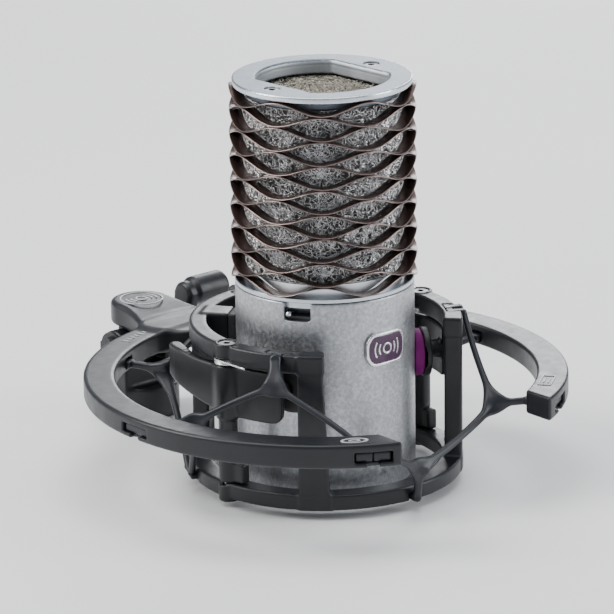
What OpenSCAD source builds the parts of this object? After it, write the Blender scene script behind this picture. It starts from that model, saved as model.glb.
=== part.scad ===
// Side-address condenser microphone held in a lyre-type shock mount.
// Origin: the microphone's own axis at its flat base. +Z up, the
// address side and the open side of the mount face -Y, the stand
// swivel is at +Y. Millimetres and degrees.

/* [Microphone] */
// Outer radius of the body shell
body_r = 32; // [31.5:0.1:32.1]
// Height of the seam between body shell and chassis flange
seam_z = 70.6; // [70:0.1:71]
// Overall height of the microphone
mic_h = 145.2; // [144.8:0.1:146]
// Thickness of the visible rim of the top plate
rim_t = 2.2; // [1.8:0.1:2.4]

/* [Spring head] */
// Number of stacked wave rings
wave_n = 16; // [12:1:16]
// Waves in one turn of a ring
wave_k = 6; // [6:1:6]
// Height step from ring to ring
wave_pitch = 4.4; // [4.3:0.01:4.4]
// Thickness of the wave strip
wave_t = 0.5; // [0.4:0.05:0.5]
// Outer radius of the wave rings
wave_r = 33.3; // [33:0.1:33.5]

/* [Shock mount] */
// Outer radius of the outer C ring
ring_ro = 87; // [86:0.5:88]
// Inner radius of the outer C ring
ring_ri = 75.7; // [75:0.1:77]
// Top of the outer ring
ring_top = 36.9; // [36.5:0.1:37.5]
// Height of the outer ring section
ring_h = 7.7; // [7.5:0.1:8]
// Half width of the open front of the outer ring
ring_gap = 35; // [34.5:0.5:36]
// Outer radius of the inner cage
cage_ro = 48.7; // [48.5:0.1:49]
// Inner radius of the upper cage ring
cage_ri = 42.4; // [42:0.1:43]

/* [Swivel] */
// Distance from microphone axis to stand axis
swivel_y = 104; // [103:0.5:106]
// Height of the tilt axis
tilt_z = 24; // [23.5:0.5:24.5]
// Radius of the stand thread (3/8 inch major diameter)
thread_r = 4.7625; // [4.7625:0.0001:4.7625]

/* [Hidden] */
$fn = 96;
shell_ri = 30;            // bore of the body shell
base_t = 4;               // base plate thickness
deck_z = 68.3;            // underside of the chassis flange
flange_z = seam_z + 0.2;  // where the flange widens over the shell
head_z = 72.4;            // top of the flange
boss_z = 139.9;           // underside of the top plate
pillar_x = 24.4;          // radius of rails, head pillars and case screws
head_a = 3;               // turn of the head about Z
cap_z = 107;              // capsule axis height
pad_switch_a = -149.3;
lowcut_switch_a = -180 - pad_switch_a;
large_thread_r = 7.9375;  // 5/8 inch major diameter
pivot_x = 46.2;           // jaw pivot axes
grip_r = body_r + 0.15;   // hollow face of the rubber pads

// ---------- helpers ----------
function polar(radius, angle, z = 0) = [radius * cos(angle), radius * sin(angle), z];

module both_sides(x) { for (side = [-1, 1]) translate([side * x, 0, 0]) children(); }

module rod_x(radius, x1, x2, y = 0, z = 0) {
  translate([x1, y, z]) rotate([0, 90, 0]) cylinder(r = radius, h = x2 - x1);
}
module rod_y(radius, y1, y2, x = 0, z = 0) {
  translate([x, y2, z]) rotate([90, 0, 0]) cylinder(r = radius, h = y2 - y1);
}
module rod_z(radius, z1, z2) { translate([0, 0, z1]) cylinder(r = radius, h = z2 - z1); }

// two rods along Y, spanning [near, far] in front of and behind y = 0
module rod_pair_y(radius, span, z = 0) {
  rod_y(radius, -span[1], -span[0], 0, z);
  rod_y(radius, span[0], span[1], 0, z);
}
module tube_z(inner, outer, z1, z2) {
  translate([0, 0, z1]) difference() {
    cylinder(r = outer, h = z2 - z1);
    translate([0, 0, -1]) cylinder(r = inner, h = z2 - z1 + 2);
  }
}
// part of a tube between two angles
module sector(inner, outer, z1, z2, a1, a2) {
  rotate([0, 0, a1]) translate([0, 0, z1])
    rotate_extrude(angle = a2 - a1) translate([inner, 0]) square([outer - inner, z2 - z1]);
}
// box given by its [from, to] spans in a frame turned about Z, x pointing outwards
module turned_box(angle, x, y, z) {
  rotate([0, 0, angle]) translate([x[0], y[0], z[0]])
    cube([x[1] - x[0], y[1] - y[0], z[1] - z[0]]);
}
// head upwards from z = 0, shaft downwards, hexagon socket
module screw(head_r, head_h, shaft_r, shaft_l, socket_r) {
  difference() {
    union() {
      cylinder(r = head_r, h = head_h);
      translate([0, 0, -shaft_l]) cylinder(r = shaft_r, h = shaft_l + 0.2);
    }
    translate([0, 0, head_h - 0.9]) cylinder(r = socket_r, h = 2, $fn = 6);
  }
}

// ---------- microphone: outer pieces ----------
case_hole_r = 1.6;
counterbore_r = 2.9;
counterbore_h = 1.9;
mesh_ri = 27;
collar_top = 76.5;

module at_head_pillars() {
  for (side = [-1, 1]) translate(polar(side * pillar_x, head_a)) children();
}
module case_screw(head_h) {
  screw(head_r = 2.75, head_h = head_h, shaft_r = 1.45, shaft_l = 9, socket_r = 1.3);
}
// window for a slide switch, open towards the flange, lower corners rounded
module switch_window(angle) {
  half_w = 4.85;
  bottom = 65.2;
  corner = 1.3;
  corner_y = half_w - corner;
  turned_box(angle, [26, 36], [-half_w, half_w], [bottom, 72]);
  turned_box(angle, [26, 36], [-corner_y, corner_y], [bottom - corner, 66]);
  for (side = [-1, 1]) rotate([0, 0, angle]) rod_x(corner, 26, 36, side * corner_y, bottom);
}
module body_shell() {
  top = seam_z - 0.05;
  color([0.52, 0.54, 0.56]) difference() {
    rotate_extrude() polygon([
      [shell_ri, 0], [body_r - 0.6, 0], [body_r, 0.6],
      [body_r, top - 0.2], [body_r - 0.2, top], [shell_ri, top]]);
    switch_window(pad_switch_a);
    switch_window(lowcut_switch_a);
  }
}
module chassis_flange() {
  bore_r = 9;
  plug_r = shell_ri - 0.15;
  color([0.62, 0.67, 0.72]) difference() {
    rotate_extrude() polygon([
      [bore_r, deck_z], [plug_r, deck_z], [plug_r, flange_z],
      [body_r - 0.15, flange_z], [body_r, flange_z + 0.15],
      [body_r, head_z - 0.3], [body_r - 0.3, head_z], [bore_r, head_z]]);
    at_head_pillars() rod_z(case_hole_r, 60, 80);
  }
}
// upright bars joining base plate and flange
module chassis_rails() {
  color([0.6, 0.62, 0.64]) difference() {
    both_sides(pillar_x) translate([-2.6, -4, base_t + 0.05])
      cube([5.2, 8, deck_z - base_t - 0.1]);
    both_sides(pillar_x) rod_z(1.55, 3, 14);
    at_head_pillars() rod_z(case_hole_r, 60, 70);
    at_board_screws() rod_y(1.05, -5, 0);
  }
}
// disc with two parallel straight sides, turned with the head
module flatted_disc(radius, half_w, z1, z2) {
  intersection() {
    rod_z(radius, z1, z2);
    rotate([0, 0, head_a]) translate([-half_w, -40, 130]) cube([2 * half_w, 80, 20]);
  }
}
module top_plate() {
  plug_r = 28.2;
  rim_z = mic_h - rim_t;
  color([0.55, 0.6, 0.66]) difference() {
    rotate_extrude() polygon([
      [0, boss_z], [plug_r - 0.2, boss_z], [plug_r, boss_z + 0.2], [plug_r, rim_z],
      [body_r - 0.2, rim_z], [body_r, rim_z + 0.2],
      [body_r, mic_h - 0.3], [body_r - 0.3, mic_h], [0, mic_h]]);
    flatted_disc(23.5, 18.8, 130, 150);
    at_head_pillars() {
      rod_z(case_hole_r, 130, 150);
      rod_z(counterbore_r, mic_h - counterbore_h, 150);
    }
  }
}
module top_screws() {
  color([0.25, 0.26, 0.28])
    at_head_pillars() translate([0, 0, mic_h - counterbore_h]) case_screw(1.5);
}

wave_ri = 28.6;
wave_a = -132;  // angle of a crest of the lowest ring
wave_amp = (wave_pitch - wave_t - 0.08) / 2;

// flat strip whose height runs as a sine of wave_k waves a turn
module wave_ring(mid_z, crest_a) {
  steps = 48;
  function strip_z(a) = mid_z + wave_amp * cos(wave_k * (a - crest_a));
  // four corners of the strip section at each step
  corners = [for (i = [0:steps - 1]) let (a = 360 * i / steps, z = strip_z(a)) each [
    polar(wave_ri, a, z), polar(wave_r, a, z),
    polar(wave_r, a, z + wave_t), polar(wave_ri, a, z + wave_t)]];
  // two triangles between each pair of neighbouring corner lines
  triangles = [
    for (i = [0:steps - 1]) let (here = 4 * i, next = 4 * ((i + 1) % steps))
      for (c = [0:3]) let (d = (c + 1) % 4)
        each [[here + c, next + c, next + d], [here + c, next + d, here + d]]];
  polyhedron(points = corners, faces = triangles);
}
// every second ring is turned by half a wave
module wave_springs() {
  color([0.28, 0.19, 0.16]) for (i = [0:wave_n - 1])
    wave_ring(head_z + 0.09 + wave_amp + i * wave_pitch, wave_a + (i % 2) * 180 / wave_k);
}
module mesh_filter() { color([0.3, 0.3, 0.3]) tube_z(mesh_ri, 27.9, collar_top, boss_z); }
module top_mesh() { color([0.32, 0.31, 0.28]) flatted_disc(26.8, 21.8, 137.8, 139.5); }
module mesh_collar() { color([0.7, 0.74, 0.78]) tube_z(mesh_ri, 28.15, head_z, collar_top); }
module head_pillars() {
  color([0.45, 0.46, 0.48]) at_head_pillars() difference() {
    union() {
      rod_z(2.3, head_z, boss_z);
      rod_z(1.5, 61, head_z + 0.5);
    }
    rod_z(1.5, 131, 141);
  }
}

// ---------- microphone: capsule ----------
capsule_r = 16.4;
clamp_r = capsule_r - 0.1;    // diaphragms and the rings over them
diaphragm_y = [3.41, 3.56];   // distances from the capsule's middle plane
clamp_y = [3.57, 5.2];
capsule_hole_r = 0.55;

module at_capsule_circle(radius, count, first_a) {
  for (i = [0:count - 1]) let (a = first_a + 360 / count * i)
    translate([radius * cos(a), 0, cap_z + radius * sin(a)]) children();
}
module at_capsule_screws() { at_capsule_circle(14.7, 8, 22.5) children(); }
module at_leads() { both_sides(5.2) translate([0, 4.4, 0]) children(); }

// hoop, neck and foot
module capsule_saddle() {
  color([0.12, 0.12, 0.13]) difference() {
    union() {
      rod_y(19.2, -3, 3, 0, cap_z);
      translate([-3.5, -3, head_z + 2]) cube([7, 6, 18]);
      translate([-13, -7, head_z]) cube([26, 14, 3]);
    }
    rod_y(capsule_r + 0.05, -4, 4, 0, cap_z);
    at_leads() rod_z(0.6, 70, 80);
  }
}
module capsule_backplate() {
  color([0.72, 0.55, 0.25]) difference() {
    rod_y(capsule_r, -3.4, 3.4, 0, cap_z);
    at_capsule_screws() rod_pair_y(capsule_hole_r, [1.4, 4]);
    at_capsule_circle(7, 6, 0) rod_y(0.9, -5, 5);
  }
}
module diaphragms() {
  color([0.85, 0.68, 0.25]) difference() {
    rod_pair_y(clamp_r, diaphragm_y, cap_z);
    at_capsule_screws() rod_y(capsule_hole_r, -5, 5);
  }
}
module capsule_rings() {
  color([0.75, 0.6, 0.3]) difference() {
    rod_pair_y(clamp_r, clamp_y, cap_z);
    rod_y(13.0, -6, 6, 0, cap_z);
    at_capsule_screws() rod_y(capsule_hole_r, -6, 6);
  }
}
module slotted_screw() {
  difference() {
    union() {
      cylinder(r = 1.0, h = 0.7);
      translate([0, 0, -3.2]) cylinder(r = 0.5, h = 3.4);
    }
    translate([-1.5, -0.15, 0.35]) cube([3, 0.3, 1]);
  }
}
module capsule_screws() {
  color([0.5, 0.5, 0.5]) at_capsule_screws() for (side = [-1, 1])
    translate([0, side * (clamp_y[1] + 0.01), 0]) rotate([-90 * side, 0, 0]) slotted_screw();
}
module capsule_leads() { color([0.6, 0.1, 0.1]) at_leads() rod_z(0.45, 62, cap_z - 15.6); }

// ---------- microphone: electronics ----------
board_y = -5.7;                     // front face of the board
board_t = 1.6;
front_y = board_y - 0.05;           // where the parts on the front end
back_y = board_y + board_t + 0.05;  // where the parts on the back begin

module at_board_screws() {
  both_sides(pillar_x) for (z = [20, 54]) translate([0, 0, z]) children();
}
module main_board() {
  color([0.05, 0.3, 0.15]) difference() {
    translate([-27, board_y, 13]) cube([54, board_t, 49]);
    at_board_screws() rod_y(1.1, -7, -3);
  }
}
module board_screws() {
  color([0.7, 0.7, 0.7])
    at_board_screws() translate([0, board_y - 0.01, 0]) rotate([90, 0, 0])
      screw(head_r = 1.9, head_h = 1.3, shaft_r = 1.0, shaft_l = 5.2, socket_r = 0.8);
}
module front_block(x, z, size) { translate([x, front_y - size[1], z]) cube(size); }
module board_capacitors() {
  color([0.15, 0.2, 0.45]) {
    for (x = [-12, 0, 12]) rod_y(4, -17, front_y, x, 26);
    for (x = [-16, 2]) front_block(x, 36, [14, 7.25, 8]);
    for (x = [-10, 2]) front_block(x, 47.5, [8, 5.25, 6]);
  }
}
module board_chips() {
  color([0.1, 0.1, 0.1]) {
    for (x = [-14, -4, 6]) translate([x, back_y, 30]) cube([6, 3, 5]);
    for (x = [-14, 0, 9]) rod_y(2.3, back_y, 0.6, x, 45);
    translate([-3, back_y, 50]) cube([9, 2.2, 5]);
  }
}

// ---------- microphone: base ----------
xlr_y = 12.8;
xlr_r = 11.2;
bush_y = -13.6;
bush_r = 10;

module at_xlr() { translate([0, xlr_y, 0]) children(); }
module at_bush() { translate([0, bush_y, 0]) children(); }
module at_xlr_pins() { for (a = [90, 210, 330]) translate(polar(4.95, a)) children(); }

module base_plate() {
  color([0.2, 0.2, 0.22]) difference() {
    rod_z(shell_ri - 0.1, 0, base_t);
    at_xlr() rod_z(xlr_r + 0.1, -1, 6);
    at_bush() rod_z(bush_r + 0.1, -1, 6);
    both_sides(pillar_x) {
      rod_z(case_hole_r, -1, 6);
      rod_z(counterbore_r, -1, counterbore_h);
    }
  }
}
module base_screws() {
  color([0.3, 0.3, 0.32])
    both_sides(pillar_x) translate([0, 0, counterbore_h]) rotate([180, 0, 0]) case_screw(1.7);
}
module xlr_barrel() { color([0.7, 0.7, 0.72]) at_xlr() tube_z(9.5, xlr_r, 0, 18); }
module xlr_insert() {
  color([0.08, 0.08, 0.08]) at_xlr() difference() {
    rod_z(9.45, 13.5, 17.8);
    at_xlr_pins() rod_z(1.25, 10, 20);
  }
}
module xlr_pins() { color([0.85, 0.85, 0.85]) at_xlr() at_xlr_pins() rod_z(1.2, 2.5, 21); }
module stand_bush() { color([0.6, 0.58, 0.5]) at_bush() tube_z(large_thread_r, bush_r, 0, 11); }

// ---------- badge ----------
badge_z = 52.2;

// extrudes an outline through the front of the shell, y = -40 to -20
module badge_block(depth_start = -20) {
  translate([0, depth_start, badge_z]) rotate([90, 0, 0]) linear_extrude(20) children();
}
// rounded outline, drawn in by inset
module badge_shape(inset = 0) { offset(r = 3.1 - inset) square([11.7, 5.9], center = true); }
// raised sound-wave lines: a centre dot ring with two arcs on each side
module badge_lines() {
  difference() {
    circle(r = 2.1);
    circle(r = 1.35);
  }
  for (radius = [3.95, 6.1], turn = [0, 180]) rotate([0, 0, turn]) intersection() {
    difference() {
      circle(r = radius);
      circle(r = radius - 0.75);
    }
    polygon([[0, 0], [12, 6.9], [12, -6.9]]);
  }
}
// curved plate with a raised edge and the lines standing in its recess
module badge_base() {
  color([0.75, 0.75, 0.76]) union() {
    difference() {
      intersection() {
        tube_z(body_r + 0.04, 33.5, 40, 65);
        badge_block() badge_shape();
      }
      intersection() {
        tube_z(33.0, 36, 39, 66);
        badge_block() badge_shape(1.0);
      }
    }
    intersection() {
      tube_z(32.9, 33.45, 40, 65);
      badge_block() badge_lines();
    }
  }
}
module badge_enamel() {
  color([0.2, 0.05, 0.2]) difference() {
    intersection() {
      tube_z(33.02, 33.25, 40, 65);
      badge_block() badge_shape(1.06);
    }
    badge_block() offset(delta = 0.05) badge_lines();
  }
}

// ---------- switches ----------
module switch_housing(angle) {
  difference() {
    turned_box(angle, [23.5, 29.2], [-6, 6], [62.5, deck_z]);
    turned_box(angle, [25.4, 30], [-4.4, 4.4], [65.1, 67.5]);
  }
}
// round-tipped pin with a thicker root
module switch_toggle(angle) {
  rotate([0, 0, angle]) translate([0, -3.2, 66.3]) {
    rod_x(0.95, 25.6, 31.2);
    rod_x(1.1, 25.6, 27);
    translate([31.3, 0, 0]) sphere(r = 1.15);
  }
}
module pad_switch_housing() { color([0.05, 0.05, 0.05]) switch_housing(pad_switch_a); }
module pad_switch_toggle() { color([0.85, 0.85, 0.85]) switch_toggle(pad_switch_a); }
module lowcut_switch_housing() { color([0.05, 0.05, 0.05]) switch_housing(lowcut_switch_a); }
module lowcut_switch_toggle() { color([0.85, 0.85, 0.85]) switch_toggle(lowcut_switch_a); }

// ---------- inner cage ----------
rest_angles = [54, 126];  // rear posts that carry rest blocks and pads
// start angle, end angle, top
cage_posts = [[-143, -132.4, 56.3], [-47.6, -37, 56.3], [120, 132, 54], [48, 60, 54]];
// angle, half width of the notch, wider where two clips share a pocket
upper_pockets = [[-151.7, 1.8], [-30, 4.4], [90, 1.8]];
lower_pockets = [[-92.2, 1.8], [30, 1.8], [150, 4.4]];

// T-shaped pocket for a suspension clip
module clip_pocket(angle, half_w, z) {
  turned_box(angle, [43.8, 46.6], [-5, 5], z);
  turned_box(angle, [46.5, 50], [-half_w, half_w], z);
}
module cage_frame() {
  color([0.07, 0.075, 0.09]) difference() {
    union() {
      // upper ring, open at the front, relieved over the spring coils
      difference() {
        sector(cage_ri, cage_ro, 49.8, 56.5, -48, 228);
        both_sides(pivot_x) rod_z(5.0, 49, 51.4);
      }
      tube_z(41.0, cage_ro, -0.3, 5.4);
      for (post = cage_posts)
        sector(cage_ri + 0.2, cage_ro - 0.15, 0, post[2], post[0], post[1]);
      for (a = rest_angles) turned_box(a, [34.7, 45], [-5.2, 5.2], [34, 57]);
      // bosses for the two pivot pins
      both_sides(pivot_x) {
        rod_z(4.3, 51.4, 56.9);
        rod_z(3.7, -1.7, 4.4);
      }
    }
    both_sides(pivot_x) {
      rod_z(2.05, -1.3, 60);
      rod_z(3.1, 54.6, 60);
    }
    for (pocket = upper_pockets) clip_pocket(pocket[0], pocket[1], [54, 58]);
    for (pocket = lower_pockets) clip_pocket(pocket[0], pocket[1], [-2, 2.5]);
  }
}
module pivot_pins() { color([0.75, 0.75, 0.77]) both_sides(pivot_x) rod_z(2.0, -1.2, 52.0); }
module pivot_screws() {
  color([0.15, 0.15, 0.16]) both_sides(pivot_x) translate([0, 0, 54.65])
    screw(head_r = 3.0, head_h = 1.9, shaft_r = 2.0, shaft_l = 2.5, socket_r = 1.3);
}
// closed coil around the pin with one arm under the ring, one above the jaw
module torsion_springs() {
  coil_r = 4.2;
  coil_z = 49.35;
  pitch = 0.81;
  color([0.8, 0.8, 0.8]) for (side = [-1, 1]) translate([side * pivot_x, 0, 0]) {
    for (i = [0:2]) translate([0, 0, coil_z + i * pitch])
      rotate_extrude() translate([coil_r, 0]) circle(r = 0.38, $fn = 24);
    // short links that join neighbouring turns
    for (i = [0:1]) rotate([0, 0, side * 60]) translate([coil_r, 0, coil_z + (i + 0.5) * pitch])
      cylinder(r = 0.3, h = 0.6, center = true, $fn = 24);
    translate([side * 4.1, 1, coil_z + 2 * pitch]) rotate([90, 0, 0])
      cylinder(r = 0.36, h = 14.6, $fn = 24);
    translate([side * -4.1, 1, coil_z]) rotate([90, 0, side * -8])
      cylinder(r = 0.36, h = 8, $fn = 24);
  }
}
module rear_pads() {
  color([0.12, 0.12, 0.13]) for (a = rest_angles) difference() {
    turned_box(a, [31, 34.7], [-4.9, 4.9], [34.3, 56.7]);
    rod_z(grip_r, 30, 62);
  }
}

// ---------- spring jaws ----------
// modelled for the left side; the right jaw is its mirror image
jaw_top = 48.9;
lever_z = 34;
pad_a = -150;
pad_z = 40.8;
stub_a = pad_a - 5;
stub_z = 40.4;
// x, y outlines of the thumb lever and of the higher part towards its tip
lever_outline = [
  [-49.2, 0.2], [-50.4, 13.5], [-49.6, 23.2], [-46.6, 30.7],
  [-43.8, 29.7], [-46.0, 22.3], [-46.7, 13.5], [-44.5, 1.5]];
lever_tip_outline = [
  [-50.3, 12], [-49.5, 23.1], [-46.55, 30.6], [-43.9, 29.6], [-46.1, 22.2], [-46.8, 12]];

module jaw() {
  difference() {
    union() {
      translate([-pivot_x, 0, 0]) {
        rod_z(4.2, 29.0, jaw_top);
        rod_z(3.4, 5.5, 29.5);
      }
      // front arm, its lower front corner set back
      sector(43.0, 46.6, 33.5, jaw_top - 0.15, -177, -150.6);
      sector(43.05, 46.55, 30.0, 34, -177, -154);
      // foot just above the lower ring
      sector(43.4, 47.4, 5.65, 13, -177, -170);
      translate([0, 0, lever_z]) linear_extrude(jaw_top - 0.1 - lever_z) polygon(lever_outline);
      translate([0, 0, 45]) linear_extrude(4.6) polygon(lever_tip_outline);
      // stub that carries the pad backing
      rotate([0, 0, stub_a]) rod_x(3.2, 36.3, 43.5, 0, stub_z);
    }
    translate([-pivot_x, 0, 0]) rod_z(2.06, 2, 60);
  }
}
module pad_backing() {
  difference() {
    rotate([0, 0, pad_a]) rod_x(8.9, 34.85, 37.55, 0, pad_z);
    rotate([0, 0, stub_a]) rod_x(3.3, 36.2, 41.2, 0, stub_z);
  }
}
module pad() {
  difference() {
    rotate([0, 0, pad_a]) rod_x(8.6, 30.5, 34.8, 0, pad_z);
    rod_z(grip_r, 25, 60);
  }
}
module left_jaw() { color([0.05, 0.05, 0.06]) jaw(); }
module left_pad_backing() { color([0.04, 0.04, 0.04]) pad_backing(); }
module left_pad() { color([0.35, 0.02, 0.3]) pad(); }
module right_jaw() { color([0.05, 0.05, 0.06]) mirror([1, 0, 0]) jaw(); }
module right_pad_backing() { color([0.04, 0.04, 0.04]) mirror([1, 0, 0]) pad_backing(); }
module right_pad() { color([0.35, 0.02, 0.3]) mirror([1, 0, 0]) pad(); }

// ---------- outer ring ----------
// anchor angles; two lyres meet at each shared one
front_shared_a = -121.5;
rear_shared_a = 60;
front_a = -58.5;
left_a = 178;
rear_a = 120;
right_a = 2;
lug_x = 5.9;        // half width of the lug
tilt_hole_r = 3.05;

module at_stand() { translate([0, swivel_y, 0]) children(); }
module tilt_rod(radius, x1, x2) { rod_x(radius, x1, x2, swivel_y, tilt_z); }

module clip_window(angle) {
  turned_box(angle, [74, 85], [-3.3, 3.3], [30.8, 34.2]);
  turned_box(angle, [83.4, 92], [-6.8, 6.8], [30.8, 34.2]);
  turned_box(angle, [84.6, 92], [-2.2, 2.2], [28, 31.0]);
}
// chamfered ring with its front cut away
module c_ring() {
  bottom = ring_top - ring_h;
  chamfer = 0.8;
  difference() {
    rotate_extrude() polygon([
      [ring_ri, bottom + chamfer], [ring_ri + chamfer, bottom],
      [ring_ro - chamfer, bottom], [ring_ro, bottom + chamfer],
      [ring_ro, ring_top - chamfer], [ring_ro - chamfer, ring_top],
      [ring_ri + chamfer, ring_top], [ring_ri, ring_top - chamfer]]);
    translate([-ring_gap, -120, 0]) cube([2 * ring_gap, 100, 60]);
  }
}
// plain raised marks: a small oval by the left end, two bars by the right end
module ring_marks() {
  mark_z = ring_top - 0.05;
  mark_h = 0.35;
  translate([-46.5, -67.5, mark_z]) rotate([0, 0, -31]) difference() {
    scale([1.9, 1, 1]) cylinder(r = 2.6, h = mark_h);
    translate([0, 0, -1]) scale([1.95, 0.92, 1]) cylinder(r = 2.1, h = 3);
  }
  for (y = [-2, 2]) translate([48.2, -64.2, mark_z]) rotate([0, 0, 31])
    translate([-4, y - 0.3, 0]) cube([8, 0.6, mark_h]);
}
module outer_ring() {
  color([0.08, 0.085, 0.1]) difference() {
    union() {
      c_ring();
      // boss above the stand axis and the webs that blend it into the ring
      at_stand() rod_z(11.5, 31.5, 40.4);
      hull() {
        at_stand() rod_z(11.2, 31.7, 40.0);
        translate([-9, 84, 30.2]) cube([18, 2, 6.4]);
      }
      hull() {
        translate([0, swivel_y - 6, 0]) rod_z(9, 31.9, 38.0);
        translate([-22, 80.6, 30.4]) cube([44, 1.4, 6.2]);
      }
      // lug that hangs between the ears of the stand adaptor
      translate([-lug_x, swivel_y - 7, tilt_z]) cube([2 * lug_x, 14, 9]);
      tilt_rod(7, -lug_x, lug_x);
      ring_marks();
      at_stand() tube_z(7.6, 8.2, 40.3, 40.75);
    }
    tilt_rod(tilt_hole_r, -8, 8);
    for (a = [front_shared_a, front_a, left_a, rear_a, rear_shared_a, right_a]) clip_window(a);
  }
}

// ---------- suspension lyres ----------
lyre_colour = [0.12, 0.13, 0.16];
web_t = 2.6;   // strut thickness
hook_t = 2.2;  // strut thickness at the cage hooks

// ends of the legs at the upper and the lower cage ring
function upper_hook(angle) = polar(50.4, angle, 55.3);
function lower_hook(angle) = polar(50.4, angle, 1.2);
// end of an arm at the outer ring
function ring_end(angle) = polar(74.2, angle, 32.5);

// flat disc whose axis is radial, used as the end of a strut
module knot(place, width, thick) {
  translate(place) rotate([0, 0, atan2(place[1], place[0])]) rotate([0, 90, 0])
    cylinder(d = width, h = thick, center = true, $fn = 12);
}
module strut(from, to, from_w, to_w, to_t = web_t) {
  hull() {
    knot(from, from_w, web_t);
    knot(to, to_w, to_t);
  }
}
// T-shaped end in a ring window, set sideways by shift
module ring_clip(angle, shift, width) {
  stem = width / 4.2;
  bar = width / 2;
  bar_y = shift * 1.95;
  turned_box(angle, [73.2, 83.6], [shift - stem, shift + stem], [31.0, 34.0]);
  turned_box(angle, [83.55, 85.6], [bar_y - bar, bar_y + bar], [31.02, 33.98]);
}
// T-shaped hook in a cage pocket
module cage_hook(place, half_w) {
  angle = atan2(place[1], place[0]);
  z = place[2];
  turned_box(angle, [44.1, 46.4], [-half_w, half_w], [z - 1.1, z + 1.1]);
  turned_box(angle, [46.3, 51.0], [-1.6, 1.6], [z - 1.05, z + 1.05]);
}
// web with two joints, each with an arm to the ring and a leg to the cage:
// the short-leg joint reaches the shared window, the long-leg joint its own window
module lyre(shared_a, shift, own_a, short_joint, long_joint, short_end, long_end) {
  short_w = 5.2;
  long_w = 5.6;
  strut(long_joint, short_joint, long_w, short_w);
  strut(long_joint, ring_end(own_a), long_w, 2.8);
  strut(short_joint, ring_end(shared_a + shift * 0.75), short_w, 2.8);
  strut(long_joint, long_end, long_w, 3.0, hook_t);
  strut(short_joint, short_end, short_w, 3.4, hook_t);
  ring_clip(shared_a, shift, 6.2);
  ring_clip(own_a, 0, 12.6);
  cage_hook(long_end, 2.2);
  cage_hook(short_end, 4.6);
}
module front_lyre() {
  color(lyre_colour) lyre(front_shared_a, 1.65, front_a,
    polar(59, -97.8, 16.1), polar(63.2, -60.6, 30.3), lower_hook(-92.2), upper_hook(-33.2));
}
module right_lyre() {
  color(lyre_colour) lyre(rear_shared_a, -1.65, right_a,
    polar(59, 36.5, 16.1), polar(63.2, 4.1, 30.3), lower_hook(30), upper_hook(-26.8));
}
module left_lyre() {
  color(lyre_colour) lyre(front_shared_a, -1.65, left_a,
    polar(57, -149.5, 47.6), polar(62, 180, 30.3), upper_hook(-151.7), lower_hook(153.2));
}
module rear_lyre() {
  color(lyre_colour) lyre(rear_shared_a, 1.65, rear_a,
    polar(57, 88, 47.6), polar(62, 118, 30.5), upper_hook(90), lower_hook(146.8));
}

// ---------- stand adaptor and tilt clamp ----------
adaptor_z = -3.5;   // underside
ear_x = 13.8;       // outer faces of the ears
ear_r = 6.5;
bolt_bore_r = 3.06; // in washers and lever

module stand_adaptor() {
  color([0.07, 0.075, 0.085]) difference() {
    union() {
      at_stand() rotate_extrude() polygon([
        [0, adaptor_z], [12.7, adaptor_z], [13.5, -2.7], [13.5, 7.6], [12.1, 9], [0, 9]]);
      translate([-ear_x, swivel_y - ear_r, 8]) cube([2 * ear_x, 2 * ear_r, tilt_z - 8]);
      tilt_rod(ear_r, -ear_x, ear_x);
    }
    // slot between the ears
    translate([-6.0, swivel_y - 20, 16.2]) cube([12.0, 40, 30]);
    translate([-20, swivel_y - 20, 31.3]) cube([40, 40, 20]);
    tilt_rod(tilt_hole_r, -20, 20);
    at_stand() rod_z(large_thread_r, -10, 8);
  }
}
module thread_insert() {
  color([0.75, 0.6, 0.3]) at_stand() tube_z(thread_r, 7.9, adaptor_z, 7.9);
}
module tilt_bolt() {
  color([0.16, 0.16, 0.17]) union() {
    tilt_rod(3.0, -14.9, 20.0);
    tilt_rod(4.8, -16.9, -14.9, $fn = 6);
  }
}
module tilt_washers() {
  color([0.2, 0.2, 0.21]) for (x = [-14.85, 13.85]) difference() {
    tilt_rod(6.2, x, x + 1.0);
    tilt_rod(bolt_bore_r, x - 1, x + 2);
  }
}
// hub on the bolt, sloping arm and round grip above
module tilt_lever() {
  color([0.08, 0.085, 0.095]) difference() {
    union() {
      tilt_rod(6.4, 14.9, 21.5);
      rod_x(5.7, 23.5, 39.2, swivel_y, 38);
      rod_x(4.9, 19.6, 24.5, swivel_y, 37.6);
      hull() {
        tilt_rod(6.0, 15.5, 21.3);
        rod_x(4.6, 20.0, 24.4, swivel_y, 37.4);
      }
    }
    tilt_rod(bolt_bore_r, 14, 20.3);
  }
}

body_shell();
chassis_flange();
chassis_rails();
top_plate();
top_screws();
wave_springs();
mesh_filter();
top_mesh();
mesh_collar();
head_pillars();
capsule_saddle();
capsule_backplate();
diaphragms();
capsule_rings();
capsule_screws();
capsule_leads();
main_board();
board_screws();
board_capacitors();
board_chips();
base_plate();
base_screws();
xlr_barrel();
xlr_insert();
xlr_pins();
stand_bush();
badge_base();
badge_enamel();
pad_switch_housing();
pad_switch_toggle();
lowcut_switch_housing();
lowcut_switch_toggle();
cage_frame();
pivot_pins();
pivot_screws();
torsion_springs();
rear_pads();
left_jaw();
left_pad_backing();
left_pad();
right_jaw();
right_pad_backing();
right_pad();
outer_ring();
front_lyre();
left_lyre();
rear_lyre();
right_lyre();
stand_adaptor();
thread_insert();
tilt_bolt();
tilt_washers();
tilt_lever();
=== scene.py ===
"""Looks for a side-address condenser microphone in its lyre shock mount.

The microphone's axis is Z, with the foot of its body shell at z = 0. The badge faces -Y (front),
left is -X, and the mount meets its stand at +Y (rear). Shapes are worked out in millimetres
and degrees as distance fields (negative inside), and turned into meshes in metres.
"""
import math

import bpy
import numpy as np
from mathutils import Matrix, Vector

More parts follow.
